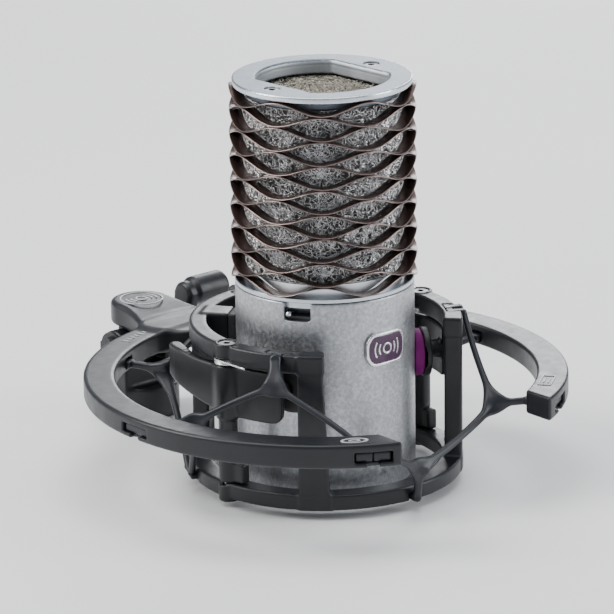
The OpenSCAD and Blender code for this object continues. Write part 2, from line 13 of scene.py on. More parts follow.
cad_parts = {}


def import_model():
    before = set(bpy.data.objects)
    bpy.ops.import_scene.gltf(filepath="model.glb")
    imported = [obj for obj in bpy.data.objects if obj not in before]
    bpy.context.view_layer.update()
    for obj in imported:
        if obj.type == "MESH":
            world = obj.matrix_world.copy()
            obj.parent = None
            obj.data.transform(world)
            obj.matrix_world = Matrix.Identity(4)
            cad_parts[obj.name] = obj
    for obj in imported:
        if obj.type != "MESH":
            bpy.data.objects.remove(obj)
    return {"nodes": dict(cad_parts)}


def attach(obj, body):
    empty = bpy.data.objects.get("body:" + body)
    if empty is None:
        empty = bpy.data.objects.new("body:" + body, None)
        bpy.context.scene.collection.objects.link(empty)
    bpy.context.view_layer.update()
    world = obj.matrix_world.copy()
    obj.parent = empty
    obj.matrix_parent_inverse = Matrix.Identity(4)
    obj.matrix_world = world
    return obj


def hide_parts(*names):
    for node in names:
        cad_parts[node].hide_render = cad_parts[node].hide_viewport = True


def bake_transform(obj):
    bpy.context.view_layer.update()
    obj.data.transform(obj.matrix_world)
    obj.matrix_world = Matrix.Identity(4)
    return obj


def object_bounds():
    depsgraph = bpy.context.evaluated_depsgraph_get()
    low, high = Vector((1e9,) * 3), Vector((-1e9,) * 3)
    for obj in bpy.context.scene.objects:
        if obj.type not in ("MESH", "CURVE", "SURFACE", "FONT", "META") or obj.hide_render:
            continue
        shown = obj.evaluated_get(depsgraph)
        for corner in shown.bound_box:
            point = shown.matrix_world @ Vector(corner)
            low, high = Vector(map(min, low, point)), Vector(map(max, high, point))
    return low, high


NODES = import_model()["nodes"]
cad_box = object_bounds()
COARSE = 1.0    # factor on every grid cell
pi = math.pi

# places shared by several pieces
SWITCH_TURNS = (-149.3, -30.7)    # the two switch openings in the body
TOP_TURN = 3                      # turn of the top plate's opening
PIVOT_X = 46.2                    # jaw pivots, at +X and -X
STAND_Y, TILT_Z = 104.0, 24.0     # stand axis, and height of the tilt bolt
RING_Z = (29.2, 36.9)             # outer ring, bottom and top


# ------------------------------------------------------------------
# distance fields
# ------------------------------------------------------------------
def soft_min(one, two, reach):
    near = np.maximum(reach - np.abs(one - two), 0.0) / reach
    return np.minimum(one, two) - near * near * reach * 0.25


def soft_max(one, two, reach):
    return -soft_min(-one, -two, reach)


def span(value, low, high):
    """distance outside the range low to high"""
    return np.abs(value - (low + high) / 2) - (high - low) / 2


def rounded(edge, *sides):
    """the solid where all sides are negative, with edge radius edge"""
    grown = [side + edge for side in sides]
    outside = np.sqrt(sum(np.maximum(side, 0.0) ** 2 for side in grown))
    return np.minimum(np.maximum.reduce(grown), 0.0) + outside - edge


def turn(pos, deg):
    """pos as seen from axes turned by deg about Z"""
    x, y, z = pos
    cos, sin = math.cos(math.radians(deg)), math.sin(math.radians(deg))
    return x * cos + y * sin, -x * sin + y * cos, z


def box(pos, low, high, edge, deg=0.0):
    if deg:
        pos = turn(pos, deg)
    return rounded(edge, *(span(*side) for side in zip(pos, low, high)))


def arc(pos, radii, zs, edge, turns=None):
    """ring about Z, or the part of it between two turns"""
    x, y, z = pos
    sides = [span(np.hypot(x, y), *radii), span(z, *zs)]
    if turns:
        middle = math.radians(sum(turns) / 2)
        half = math.radians((turns[1] - turns[0]) / 2)
        off = np.abs((np.arctan2(y, x) - middle + pi) % (2 * pi) - pi) - half
        sides.append(off * sum(radii) / 2)
    return rounded(edge, *sides)


def upright(pos, centre_x, centre_y, radius, zs, edge):
    """cylinder parallel to Z"""
    x, y, z = pos
    return rounded(edge, np.hypot(x - centre_x, y - centre_y) - radius, span(z, *zs))


def from_cross_axis(pos, height):
    """distance from the line parallel to X that crosses the stand axis at this height"""
    return np.hypot(pos[1] - STAND_Y, pos[2] - height)


def cross_rod(pos, height, radius, xs, edge):
    return rounded(edge, from_cross_axis(pos, height) - radius, span(pos[0], *xs))


def rod(pos, centre, axis, radius, half, edge):
    """cylinder round centre along a unit axis"""
    x, y, z = (value - middle for value, middle in zip(pos, centre))
    along = x * axis[0] + y * axis[1] + z * axis[2]
    away = np.sqrt(np.maximum(x * x + y * y + z * z - along * along, 0.0))
    return rounded(edge, away - radius, np.abs(along) - half)


def wall(pos, start, end, halves, bottoms, tops, edge):
    """upright wall in plan; half thickness, bottom and top run from start to end"""
    x, y, z = pos
    run_x, run_y = end[0] - start[0], end[1] - start[1]
    part = ((x - start[0]) * run_x + (y - start[1]) * run_y) / (run_x * run_x + run_y * run_y)
    part = np.clip(part, 0, 1)
    half = halves[0] + (halves[1] - halves[0]) * part
    side = np.hypot(x - start[0] - run_x * part, y - start[1] - run_y * part) - half
    bottom = bottoms[0] + (bottoms[1] - bottoms[0]) * part
    top = tops[0] + (tops[1] - tops[0]) * part
    return rounded(edge, side, span(z, bottom, top))


def bezier(start, control, end, pieces):
    start, control, end = (np.array(point, float) for point in (start, control, end))
    return [(1 - t) ** 2 * start + 2 * t * (1 - t) * control + t * t * end
            for t in np.linspace(0, 1, pieces + 1)]


def polar(radius, deg, z):
    return radius * math.cos(math.radians(deg)), radius * math.sin(math.radians(deg)), z


# for a grid edge along each axis, the four cells round it
CELLS_ROUND = (((0, -1, -1), (0, 0, -1), (0, 0, 0), (0, -1, 0)),
               ((-1, 0, -1), (-1, 0, 0), (0, 0, 0), (0, 0, -1)),
               ((-1, -1, 0), (0, -1, 0), (0, 0, 0), (-1, 0, 0)))
BLOCK = 9            # grid nodes along a block; only blocks near the surface are sampled
CHUNK = 350          # blocks sampled at a time
PROBE = 0.04         # reach of the gradient probes
PROBES = np.array([[1, -1, -1], [-1, -1, 1], [-1, 1, -1], [1, 1, 1]], float)


def surface(field, low, high, cell, cyl=False, polish=3):
    """zero surface of a field as quads, one vertex per mixed cell (surface nets);
    with cyl the grid is (radius, turn, height) and closes on itself"""
    cell = cell * COARSE
    low, high = np.array(low, float), np.array(high, float)
    step = np.full(3, cell)
    count = np.ceil((high - low) / cell).astype(int) + 1
    if cyl:
        count[1] = int(round(2 * pi * high[0] / cell))
        step[1] = 2 * pi / count[1]

    def locate(i, j, k):
        x, y, z = low[0] + i * step[0], low[1] + j * step[1], low[2] + k * step[2]
        return (x * np.cos(y), x * np.sin(y), z) if cyl else (x, y, z)

    # far blocks only take the sign at their centre
    shape = np.ceil(count / BLOCK).astype(int)
    blocks = np.indices(shape).reshape(3, -1)
    centre = field(locate(*(blocks * BLOCK + BLOCK / 2)))
    values = np.sign(centre).reshape(shape)
    for axis in range(3):
        values = np.repeat(values, BLOCK, axis)
    values = values[:count[0], :count[1], :count[2]] * 1e3
    near = np.nonzero(np.abs(centre) < BLOCK * cell * 0.9 * 1.12 + 1.2)[0]
    offsets = np.indices((BLOCK,) * 3).reshape(3, -1)
    for first in range(0, len(near), CHUNK):
        chosen = near[first:first + CHUNK]
        nodes = (blocks[:, chosen, None] * BLOCK + offsets[:, None, :]).reshape(3, -1)
        nodes = nodes[:, (nodes < count[:, None]).all(0)]
        values[tuple(nodes)] = field(locate(*nodes.astype(float)))
    if cyl:
        values = np.concatenate([values, values[:, :1]], 1)

    solid = values < 0
    size = np.array(solid.shape) - 1
    filled = np.zeros(tuple(size), np.uint8)
    for i, j, k in np.ndindex(2, 2, 2):
        filled += solid[i:size[0] + i, j:size[1] + j, k:size[2] + k]
    cells = np.array(np.nonzero((filled > 0) & (filled < 8)))
    total = cells.shape[1]
    ids = np.full(filled.shape, -1, np.int64)
    ids[tuple(cells)] = np.arange(total)

    # each vertex starts at the mean of the crossings on its cell's edges
    summed, crossings = np.zeros((total, 3)), np.zeros(total)
    for axis in range(3):
        for corner in np.ndindex(2, 2):
            start, end = np.insert(corner, axis, 0), np.insert(corner, axis, 1)
            value = values[tuple(cells + start[:, None])]
            other = values[tuple(cells + end[:, None])]
            cross = (value < 0) != (other < 0)
            point = np.tile(start.astype(float), (total, 1))
            point[:, axis] = np.where(cross, value / np.where(cross, value - other, 1.0), 0.0)
            summed += point * cross[:, None]
            crossings += cross
    verts = np.stack(locate(*(summed / crossings[:, None] + cells.T).T), 1)

    # then moves along the gradient onto the surface
    for _ in range(polish):
        grad, mean = np.zeros_like(verts), 0
        for probe in PROBES:
            value = field(tuple((verts + probe * PROBE).T))
            mean = mean + value / 4
            grad += probe[None, :] * value[:, None]
        grad /= 4 * PROBE
        shift = -mean / np.maximum((grad ** 2).sum(1), 0.2)
        verts = verts + grad * np.clip(shift, -0.35 * cell, 0.35 * cell)[:, None]

    quads = []
    for axis, around in enumerate(CELLS_ROUND):
        part = solid if axis == 1 else solid[:, :count[1]]
        nodes = np.array(np.nonzero(np.diff(part, axis=axis)))
        keep = np.ones(nodes.shape[1], bool)
        for other in range(3):
            if other != axis and not (cyl and other == 1):
                keep &= (nodes[other] >= 1) & (nodes[other] <= count[other] - 2)
        nodes = nodes[:, keep]
        quad = np.stack([ids[nodes[0] + i, (nodes[1] + j) % ids.shape[1], nodes[2] + k]
                         for i, j, k in around], 1)
        flip = ~solid[tuple(nodes)]
        quad[flip] = quad[flip][:, ::-1]
        quads.append(quad)
    return verts, np.concatenate(quads)


# ------------------------------------------------------------------
# meshes
# ------------------------------------------------------------------
def mesh_object(name, verts, faces, keys, face_mats=None):
    """verts in millimetres, quads, and the keys of its materials"""
    mesh = bpy.data.meshes.new(name)
    verts, faces = np.asarray(verts, float) * 0.001, np.asarray(faces)
    sides = faces.shape[1]
    mesh.vertices.add(len(verts))
    mesh.vertices.foreach_set("co", verts.astype(np.float32).ravel())
    mesh.loops.add(faces.size)
    mesh.loops.foreach_set("vertex_index", faces.astype(np.int32).ravel())
    polygons = mesh.polygons
    polygons.add(len(faces))
    polygons.foreach_set("loop_start", np.arange(0, faces.size, sides, dtype=np.int32))
    polygons.foreach_set("loop_total", np.full(len(faces), sides, np.int32))
    polygons.foreach_set("use_smooth", np.full(len(faces), True))
    for key in keys.split():
        mesh.materials.append(MATS[key])
    if face_mats is not None:
        polygons.foreach_set("material_index", np.asarray(face_mats, np.int32))
    mesh.update(calc_edges=True)
    mesh.validate()
    return add_object(name, mesh)


def add_object(name, data):
    made = bpy.data.objects.new(name, data)
    bpy.context.scene.collection.objects.link(made)
    return made


def place(made, body, node):
    """ride with a body, and stand in for a CAD node if one is named"""
    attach(made, body)
    if node:
        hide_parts(node)


def skin(name, field, low, high, cell, key, body, node, slot, **options):
    verts, faces = surface(field, low, high, cell, **options)
    place(mesh_object(name, verts, faces, key), body, node)


def join(parts):
    """several (verts, faces) as one"""
    starts = np.cumsum([0] + [len(verts) for verts, _ in parts])
    return (np.concatenate([verts for verts, _ in parts]),
            np.concatenate([faces + start for (_, faces), start in zip(parts, starts)]))


def loop_quads(around, outline):
    """faces of a closed outline carried round a closed loop"""
    i, j = np.indices((around, outline)).reshape(2, -1)
    i_next, j_next = (i + 1) % around, (j + 1) % outline
    return np.stack([i * outline + j, i_next * outline + j,
                     i_next * outline + j_next, i * outline + j_next], 1)


def tube_quads(count, steps, sides):
    """faces of several open tubes"""
    tube, ring, side = np.indices((count, steps - 1, sides)).reshape(3, -1)
    base, side_next = (tube * steps + ring) * sides, (side + 1) % sides
    return np.stack([base + side, base + side_next,
                     base + sides + side_next, base + sides + side], 1)


def tubes(paths, radii, sides, axis=None):
    """paths (count, steps, 3) as thin tubes; with an axis to orient them, ends are closed"""
    count, steps, _ = paths.shape
    along = np.gradient(paths, axis=1)
    along /= np.maximum(np.linalg.norm(along, axis=2, keepdims=True), 1e-9)
    out = axis or paths * (1, 1, 0) + (0, 0, 1e-3)
    across = np.cross(along, out)
    across /= np.maximum(np.linalg.norm(across, axis=2, keepdims=True), 1e-9)
    third = np.cross(along, across)
    verts = []
    for side in range(sides):
        angle = 2 * pi * side / sides
        ray = across * math.cos(angle) + third * math.sin(angle)
        verts.append(paths + ray * radii[:, None, None])
    faces = tube_quads(count, steps, sides)
    if axis:
        cap = np.array([(0, k, k + 1, k + 2) for k in range(1, sides - 2, 2)])
        ends = [cap[:, ::-1] + tube * steps * sides for tube in range(count)]
        ends += [cap + ((tube + 1) * steps - 1) * sides for tube in range(count)]
        faces = np.concatenate([faces] + ends)
    return np.stack(verts, 2).reshape(-1, 3), faces


# ------------------------------------------------------------------
# materials
# ------------------------------------------------------------------
class Shader:
    """a Principled material whose textures use object coordinates"""

    def __init__(self, name):
        self.material = bpy.data.materials.new(name)
        self.material.use_nodes = True
        self.tree = self.material.node_tree
        self.tree.nodes.clear()
        output = self.node("ShaderNodeOutputMaterial")
        self.principled = self.node("ShaderNodeBsdfPrincipled")
        self.feed(output.inputs[0], self.principled.outputs[0])
        self.coords = self.node("ShaderNodeTexCoord").outputs["Object"]

    def node(self, kind, **settings):
        made = self.tree.nodes.new(kind)
        for name, value in settings.items():
            setattr(made, name, value)
        return made

    def feed(self, socket, value):
        """link a socket, or set a number or an RGB colour"""
        if hasattr(value, "is_linked"):
            self.tree.links.new(value, socket)
        elif isinstance(value, (int, float)):
            socket.default_value = value
        else:
            socket.default_value = (*value, 1)

    def noise(self, scale, detail=4, rough=0.55, stretch=(1, 1, 1), shift=(0, 0, 0)):
        made = self.node("ShaderNodeTexNoise")
        made.inputs["Scale"].default_value = scale
        made.inputs["Detail"].default_value = detail
        made.inputs["Roughness"].default_value = rough
        mapping = self.node("ShaderNodeMapping")
        mapping.inputs["Location"].default_value = shift
        mapping.inputs["Scale"].default_value = stretch
        self.feed(mapping.inputs[0], self.coords)
        self.feed(made.inputs["Vector"], mapping.outputs[0])
        return made.outputs["Fac"]

    def ramp(self, source, stops):
        """stops are (position, colour)"""
        made = self.node("ShaderNodeValToRGB")
        elements = made.color_ramp.elements
        while len(elements) < len(stops):
            elements.new(0.5)
        for element, (position, colour) in zip(elements, stops):
            element.position = position
            element.color = (*colour, 1)
        self.feed(made.inputs[0], source)
        return made.outputs[0]

    def remap(self, source, of, to):
        """map the range `of` onto the range `to`"""
        made = self.node("ShaderNodeMapRange")
        for index, value in enumerate((*of, *to), 1):
            made.inputs[index].default_value = value
        self.feed(made.inputs[0], source)
        return made.outputs[0]

    def mix(self, factor, under, over):
        made = self.node("ShaderNodeMix", data_type="RGBA", blend_type="MIX")
        for index, value in ((0, factor), (6, under), (7, over)):
            self.feed(made.inputs[index], value)
        return made.outputs[2]

    def bump(self, source, strength, dist, under=None):
        made = self.node("ShaderNodeBump")
        made.inputs["Strength"].default_value = strength
        made.inputs["Distance"].default_value = dist
        self.feed(made.inputs["Height"], source)
        if under:
            self.feed(made.inputs["Normal"], under)
        return made.outputs[0]

    def finish(self, **inputs):
        for name, value in inputs.items():
            self.feed(self.principled.inputs[name.replace("_", " ")], value)
        return self.material


def scaled(colour, *factors):
    """colour times one factor, or one for each channel"""
    if len(factors) == 1:
        factors *= 3
    return [min(1, value * factor) for value, factor in zip(colour, factors)]


def plastic(name, colour, rough, grain=0.10, specular=0.5, grain_scale=2600, wear=0.25,
            tint=(1.5, 1.55, 1.7)):
    """moulded surface: fine grain, and specks of wear that take the tint"""
    mat = Shader(name)
    broad = mat.noise(scale=60, detail=3)
    fine = mat.noise(scale=grain_scale, detail=2, rough=0.6)
    base = mat.ramp(broad, [(0.3, scaled(colour, 0.86)), (0.7, scaled(colour, 1.16))])
    specks = mat.remap(mat.noise(scale=900, detail=3, rough=0.7), of=(0.55, 0.80), to=(0, wear))
    base = mat.mix(specks, base, scaled(colour, *tint))
    gloss = mat.remap(mat.noise(scale=220, detail=5, rough=0.65), of=(0.25, 0.75), to=rough)
    relief = mat.bump(fine, strength=grain, dist=0.0001)
    relief = mat.bump(mat.noise(scale=40, detail=3), strength=0.04, dist=0.0008, under=relief)
    return mat.finish(Base_Color=base, Roughness=gloss, Normal=relief,
                      Specular_IOR_Level=specular)


def metal(name, colour, rough, grain=0.06, grain_scale=1500, vary=0.12, metallic=1.0,
          spots=0.0, patch_scale=90):
    """metal with broad patches of tone, fine grain and optional dark spots"""
    mat = Shader(name)
    broad = mat.noise(scale=patch_scale, detail=6, rough=0.6)
    base = mat.ramp(broad, [(0.32, scaled(colour, 1 - vary)), (0.68, scaled(colour, 1 + vary))])
    if spots:
        dark = mat.noise(scale=1300, detail=4, rough=0.7)
        dark = mat.remap(dark, of=(0.56, 0.72), to=(0, spots))
        base = mat.mix(dark, base, scaled(colour, 0.45))
    fine = mat.noise(scale=grain_scale, detail=4, rough=0.65)
    gloss = mat.noise(scale=grain_scale * 0.4, detail=4, rough=0.6, shift=(0.3, 0.1, 0))
    gloss = mat.remap(gloss, of=(0.3, 0.7), to=rough)
    return mat.finish(Base_Color=base, Metallic=metallic, Roughness=gloss,
                      Normal=mat.bump(fine, strength=grain, dist=0.0001))


def tumbled_body():
    """speckled metal with faint upright streaks"""
    mat = Shader("body_tumbled")
    speckle = mat.noise(scale=760, detail=6, rough=0.72)
    streaks = mat.noise(scale=620, detail=3, stretch=(1, 1, 0.05), shift=(0.7, 0.2, 0.1))
    glints = mat.noise(scale=1500, detail=4, rough=0.7, stretch=(1, 1, 0.7))
    clouds = mat.noise(scale=60, detail=4, rough=0.6, stretch=(1, 1, 0.3), shift=(0.3, 0.9, 0.2))
    base = mat.ramp(speckle, [(0.36, (0.32, 0.33, 0.345)), (0.50, (0.40, 0.41, 0.43)),
                              (0.64, (0.54, 0.555, 0.58))])
    for source, of, most, colour in ((streaks, (0.40, 0.68), 0.16, (0.56, 0.57, 0.58)),
                                     (clouds, (0.40, 0.70), 0.12, (0.33, 0.34, 0.355)),
                                     (glints, (0.58, 0.72), 0.50, (0.72, 0.74, 0.77))):
        base = mat.mix(mat.remap(source, of=of, to=(0.0, most)), base, colour)
    gloss = mat.noise(scale=900, detail=5, rough=0.65)
    gloss = mat.remap(gloss, of=(0.38, 0.62), to=(0.32, 0.50))
    relief = mat.bump(mat.noise(scale=1300, detail=4, rough=0.6), strength=0.07, dist=0.00008)
    return mat.finish(Base_Color=base, Metallic=0.9, Roughness=gloss, Normal=relief)


def badge_enamel():
    mat = Shader("badge_enamel")
    base = mat.ramp(mat.noise(scale=500), [(0.3, (0.034, 0.006, 0.036)),
                                           (0.7, (0.060, 0.012, 0.060))])
    gloss = mat.remap(mat.noise(scale=300, detail=3), of=(0.3, 0.7), to=(0.28, 0.38))
    relief = mat.bump(mat.noise(scale=300, detail=2), strength=0.03, dist=0.0002)
    return mat.finish(Base_Color=base, Roughness=gloss, Coat_Weight=0.15, Normal=relief)


MATS = {
    "mount": plastic("mount_satin", (0.0085, 0.0097, 0.0125), rough=(0.30, 0.44), grain=0.08,
                     specular=0.42),
    "jaw": plastic("jaw_gloss", (0.0065, 0.0070, 0.0085), rough=(0.33, 0.42), grain=0.03,
                   specular=0.45, grain_scale=4000, wear=0.12),
    "backing": plastic("backing", (0.008, 0.0085, 0.010), rough=(0.38, 0.52)),
    "lyre": plastic("lyre_elastomer", (0.0135, 0.0155, 0.0205), rough=(0.32, 0.45), grain=0.04,
                    specular=0.42, grain_scale=3200, wear=0.12),
    "rubber": plastic("black_rubber", (0.018, 0.018, 0.020), rough=(0.55, 0.72), grain=0.12,
                      specular=0.35),
    "pad": plastic("pad_magenta", (0.185, 0.004, 0.140), rough=(0.50, 0.66), grain=0.18,
                   specular=0.22, grain_scale=2200, wear=0.20, tint=(1.3, 1.3, 1.3)),
    "body": tumbled_body(),
    "flange": metal("flange_satin", (0.56, 0.60, 0.645), rough=(0.26, 0.38), grain=0.05,
                    grain_scale=1800),
    "top": metal("top_plate_satin", (0.155, 0.178, 0.210), rough=(0.40, 0.52), grain=0.10,
                 grain_scale=2600, vary=0.10, metallic=0.85, spots=0.35, patch_scale=160),
    "wall": metal("opening_wall_satin", (0.50, 0.53, 0.56), rough=(0.50, 0.62),
                  grain_scale=1800),
    "shaft": metal("shaft_satin", (0.34, 0.35, 0.37), rough=(0.30, 0.42), grain=0.05),
    # painted highlight: the top plate's outer rim is a bright copy of the plate's metal, standing
    # in for the light its edge catches
    "rim": metal("rim_painted_highlight", (0.62, 0.67, 0.71), rough=(0.22, 0.34), grain=0.05,
                 grain_scale=1600),
    "wave": metal("wave_dark", (0.105, 0.066, 0.058), rough=(0.26, 0.40), grain=0.08,
                  grain_scale=1400, vary=0.25, metallic=0.8),
    # painted highlight: the strips' outer edges are a lighter copy of the strip steel, standing
    # in for the light the edges catch
    "wave_edge": metal("wave_edge", (0.38, 0.29, 0.27), rough=(0.18, 0.30), grain=0.05,
                       grain_scale=1400, vary=0.25),
    "wire": metal("wire_steel", (0.90, 0.90, 0.89), rough=(0.15, 0.28), grain=0.02,
                  grain_scale=900, vary=0.35, patch_scale=260),
    # painted shade: dark sheets behind the wire mesh stand in for the shaded hollow inside the
    # head
    "mesh_painted_shade": metal("mesh_painted_shade", (0.085, 0.083, 0.080), rough=(0.40, 0.55), grain=0.1,
                       grain_scale=2200, vary=0.3, metallic=0.6),
    "wire_top": metal("wire_top", (0.30, 0.28, 0.235), rough=(0.20, 0.36), grain=0.02,
                      grain_scale=900, vary=0.35, patch_scale=260),
    "collar": metal("collar_light", (0.70, 0.73, 0.76), rough=(0.28, 0.40), grain=0.05,
                    grain_scale=1800),
    "steel": metal("small_steel", (0.60, 0.60, 0.61), rough=(0.25, 0.38), grain=0.05),
    "black_screw": metal("blackened_screw", (0.055, 0.056, 0.06), rough=(0.28, 0.42),
                         grain=0.08, vary=0.2, metallic=0.8),
    "spring": metal("spring_wire", (0.74, 0.74, 0.745), rough=(0.16, 0.28), grain=0.03,
                    grain_scale=900),
    "chrome": metal("polished", (0.82, 0.82, 0.83), rough=(0.08, 0.18), grain=0.02,
                    grain_scale=700, vary=0.05),
    "badge": metal("badge_metal", (0.72, 0.72, 0.73), rough=(0.16, 0.26), grain=0.04,
                   grain_scale=1100, vary=0.08),
    "enamel": badge_enamel(),
    "inner": metal("inner_metal", (0.52, 0.54, 0.56), rough=(0.35, 0.5)),
    "base": plastic("base_paint", (0.035, 0.036, 0.04), rough=(0.4, 0.55), grain=0.14),
    "brass": metal("brass", (0.70, 0.52, 0.22), rough=(0.24, 0.36), grain=0.05),
    "gold": metal("gold_film", (0.80, 0.60, 0.25), rough=(0.12, 0.2), grain=0.02),
    "nickel": metal("nickel", (0.62, 0.61, 0.58), rough=(0.18, 0.3), grain=0.03),
    "board": plastic("board_green", (0.012, 0.11, 0.05), rough=(0.3, 0.45), grain=0.05),
    "blue": plastic("sleeve_blue", (0.03, 0.05, 0.20), rough=(0.3, 0.4), grain=0.04),
    "chip": plastic("black_case", (0.02, 0.02, 0.02), rough=(0.45, 0.6)),
    "housing": plastic("switch_case", (0.045, 0.047, 0.055), rough=(0.40, 0.55), grain=0.08),
    "lead": plastic("lead_red", (0.35, 0.03, 0.03), rough=(0.4, 0.5), grain=0.03),
    # painted highlight: the raised marks are moulded in the ring's dark plastic; their light
    # colour stands in for the glints on their edges
    "mark": plastic("mark_painted_highlight", (0.42, 0.425, 0.44), rough=(0.25, 0.38), grain=0.05),
}

# the CAD pieces that take each material
CAD_PIECES = {
    "flange": "chassis_flange", "inner": "chassis_rails", "collar": "mesh_collar",
    "black_screw": "top_screws base_screws pivot_screws tilt_bolt tilt_washers",
    "steel": "head_pillars capsule_screws board_screws pivot_pins",
    "chip": "capsule_saddle board_chips xlr_insert",
    "brass": "capsule_backplate capsule_rings thread_insert",
    "gold": "diaphragms", "lead": "capsule_leads", "board": "main_board",
    "blue": "board_capacitors", "base": "base_plate", "nickel": "xlr_barrel stand_bush",
    "chrome": "xlr_pins pad_switch_toggle lowcut_switch_toggle",
    "housing": "pad_switch_housing lowcut_switch_housing",
    "spring": "torsion_springs", "body": "body_shell", "top": "top_plate",
    "wave": "wave_springs", "wire": "mesh_filter", "wire_top": "top_mesh",
    "badge": "badge_base", "enamel": "badge_enamel",
    "mount": "cage_frame outer_ring stand_adaptor tilt_lever", "rubber": "rear_pads",
    "jaw": "left_jaw right_jaw", "backing": "left_pad_backing right_pad_backing",
    "pad": "left_pad right_pad", "lyre": "front_lyre left_lyre rear_lyre right_lyre",
}
for key, pieces in CAD_PIECES.items():
    for piece in pieces.split():
        for slot in NODES[piece].material_slots:
            slot.link = "OBJECT"
            slot.material = MATS[key]

# ------------------------------------------------------------------
# microphone body and top plate
# ------------------------------------------------------------------
BODY_R = 32.0
TOP_SCREW_X = 24.4


def body_shell(pos):
    """tube with a slot down from z = 63.9... to its top edge at each switch"""
    dist = arc(pos, (30.0, BODY_R), (0.0, 70.5), 0.45)
    for deg in SWITCH_TURNS:
        x, y, z = turn(pos, deg)
        slot = np.maximum(rounded(1.3, np.abs(y) - 4.85, 63.9 - z), 25 - x)
        dist = soft_max(dist, -slot, 0.3)
    return dist


body_shell.__doc__ = "tube with a slot at each switch, open at the top from z = 63.9"
skin("body_shell_skin", body_shell, (29.2, 0, -0.8), (32.8, 0, 71.3), 0.42, "body",
     "mic", "body_shell", "body_shell", cyl=True)


def top_plate(pos):
    """disc with a plug below, a straight-sided round opening and two screw holes"""
    dist = arc(pos, (-1, BODY_R), (143.0, 145.2), 0.35)
    dist = np.minimum(dist, arc(pos, (-1, 28.2), (139.9, 143.5), 0.2))
    x, y, z = turn(pos, TOP_TURN)
    opening = soft_max(np.abs(x) - 18.8, np.hypot(x, y) - 23.5, 0.5)
    dist = soft_max(dist, -(opening - 0.35 * np.clip(z - 144.2, 0, 1.0)), 0.7)
    for side in (-1, 1):
        away = np.hypot(x - side * TOP_SCREW_X, y)
        dist = np.maximum(dist, -rounded(0.0, away - 2.9, 143.3 - z))
        dist = np.maximum(dist, -(away - 1.6))
    return dist


def add_top_plate():
    """bright outer rim, and satin walls inside the opening"""
    verts, faces = surface(top_plate, (-32.8, -32.8, 139.3), (32.8, 32.8, 146.0), 0.42)
    centre = verts[faces].mean(1)
    radius = np.hypot(centre[:, 0], centre[:, 1])
    # the outer rim faces take the bright material, a painted highlight
    rim = (radius > 31.6) & (centre[:, 2] > 142.8)
    one, two, three, four = (verts[faces[:, k]] for k in range(4))
    normal = np.cross(three - one, four - two)
    level = np.abs(normal[:, 2]) / np.maximum(np.linalg.norm(normal, axis=1), 1e-12)
    walls = (radius < 23.7) & (level < 0.75) & (centre[:, 2] > 140.2)
    plate = mesh_object("top_plate_skin", verts, faces, "top rim wall",
                        np.where(rim, 1, np.where(walls, 2, 0)))
    place(plate, "mic", "top_plate")


add_top_plate()

# ------------------------------------------------------------------
# wave springs: each ring its own slightly uneven strip
# ------------------------------------------------------------------
WAVE_COUNT, WAVE_PITCH, WAVE_FOOT = 16, 4.4, 72.4
WAVE_R, STRIP_W = 33.3, 4.7
WAVES, WAVE_HEIGHT = 6, 1.91      # waves in a turn, and how far each rises and falls
# strip section: out from its inner edge, up
STRIP = np.array([(0.0, 0.10), (0.08, 0.0), (4.45, 0.0), (4.64, 0.05), (4.70, 0.18),
                  (4.64, 0.31), (4.45, 0.36), (0.08, 0.36), (0.0, 0.26)])


def add_wave_springs():
    rng = np.random.default_rng(7)
    around = 264
    deg = np.linspace(0, 360, around, endpoint=False)
    cos, sin = np.cos(np.radians(deg))[:, None], np.sin(np.radians(deg))[:, None]

    def ripple(cycles):
        return np.sin(np.radians(deg * cycles + rng.uniform(0, 360)))

    quads = loop_quads(around, len(STRIP))
    rings = []
    for i in range(WAVE_COUNT):
        phase = -132.0 if i % 2 == 0 else -102.0
        wobble = 0.10 * ripple(2) + 0.07 * ripple(3)
        tip = 0.10 * ripple(1)
        phase = phase + 1.2 * ripple(2)
        height = WAVE_FOOT + 0.09 + WAVE_HEIGHT + i * WAVE_PITCH
        height = height + WAVE_HEIGHT * np.cos(np.radians(WAVES * (deg - phase)))
        if 0 < i < WAVE_COUNT - 1:
            height = height + tip
        inner = WAVE_R + wobble * 0.8 - 0.12 - STRIP_W
        radius = inner[:, None] + STRIP[None, :, 0]
        z = height[:, None] + STRIP[None, :, 1] + 0.07
        rings.append((np.stack([radius * cos, radius * sin, z], 2).reshape(-1, 3), quads))
    verts, faces = join(rings)
    band = np.arange(len(faces)) % len(STRIP)
    # the outer edge faces of each strip take the lighter material, a painted highlight
    painted_highlight_faces = (band >= 3) & (band <= 4)
    stack = mesh_object("wave_spring_stack", verts, faces, "wave wave_edge", painted_highlight_faces)
    place(stack, "mic", "wave_springs")


add_wave_springs()

# ------------------------------------------------------------------
# crumpled wire mesh: many short curly wires over a dark sheet, painted shade standing in for the
# shaded hollow behind the mesh
# ------------------------------------------------------------------
MESH_R = 27.7
SHADE_SHEET = [(26.95, 76.5), (27.12, 76.5), (27.12, 139.9), (26.95, 139.9)]   # radius, z


def curls(count, steps, length, seed):
    """plane curves (count, steps, 2) that wander and curl, starting near 0"""
    rng = np.random.default_rng(seed)
    heading = rng.uniform(0, 2 * pi, count)[:, None]
    bend = rng.uniform(0.35, 1.25, count)[:, None] * rng.choice([-1, 1], count)[:, None]
    run = np.arange(steps)[None, :] * length
    flip = np.sign(np.sin(run * rng.uniform(0.5, 1.1, count)[:, None]
                          + rng.uniform(0, 6, count)[:, None]))
    noise = rng.normal(0, 0.16, (count, steps))
    angle = heading + np.cumsum(bend * flip * length + noise, 1)
    return np.cumsum(np.stack([np.cos(angle), np.sin(angle)], 2) * length, 1)


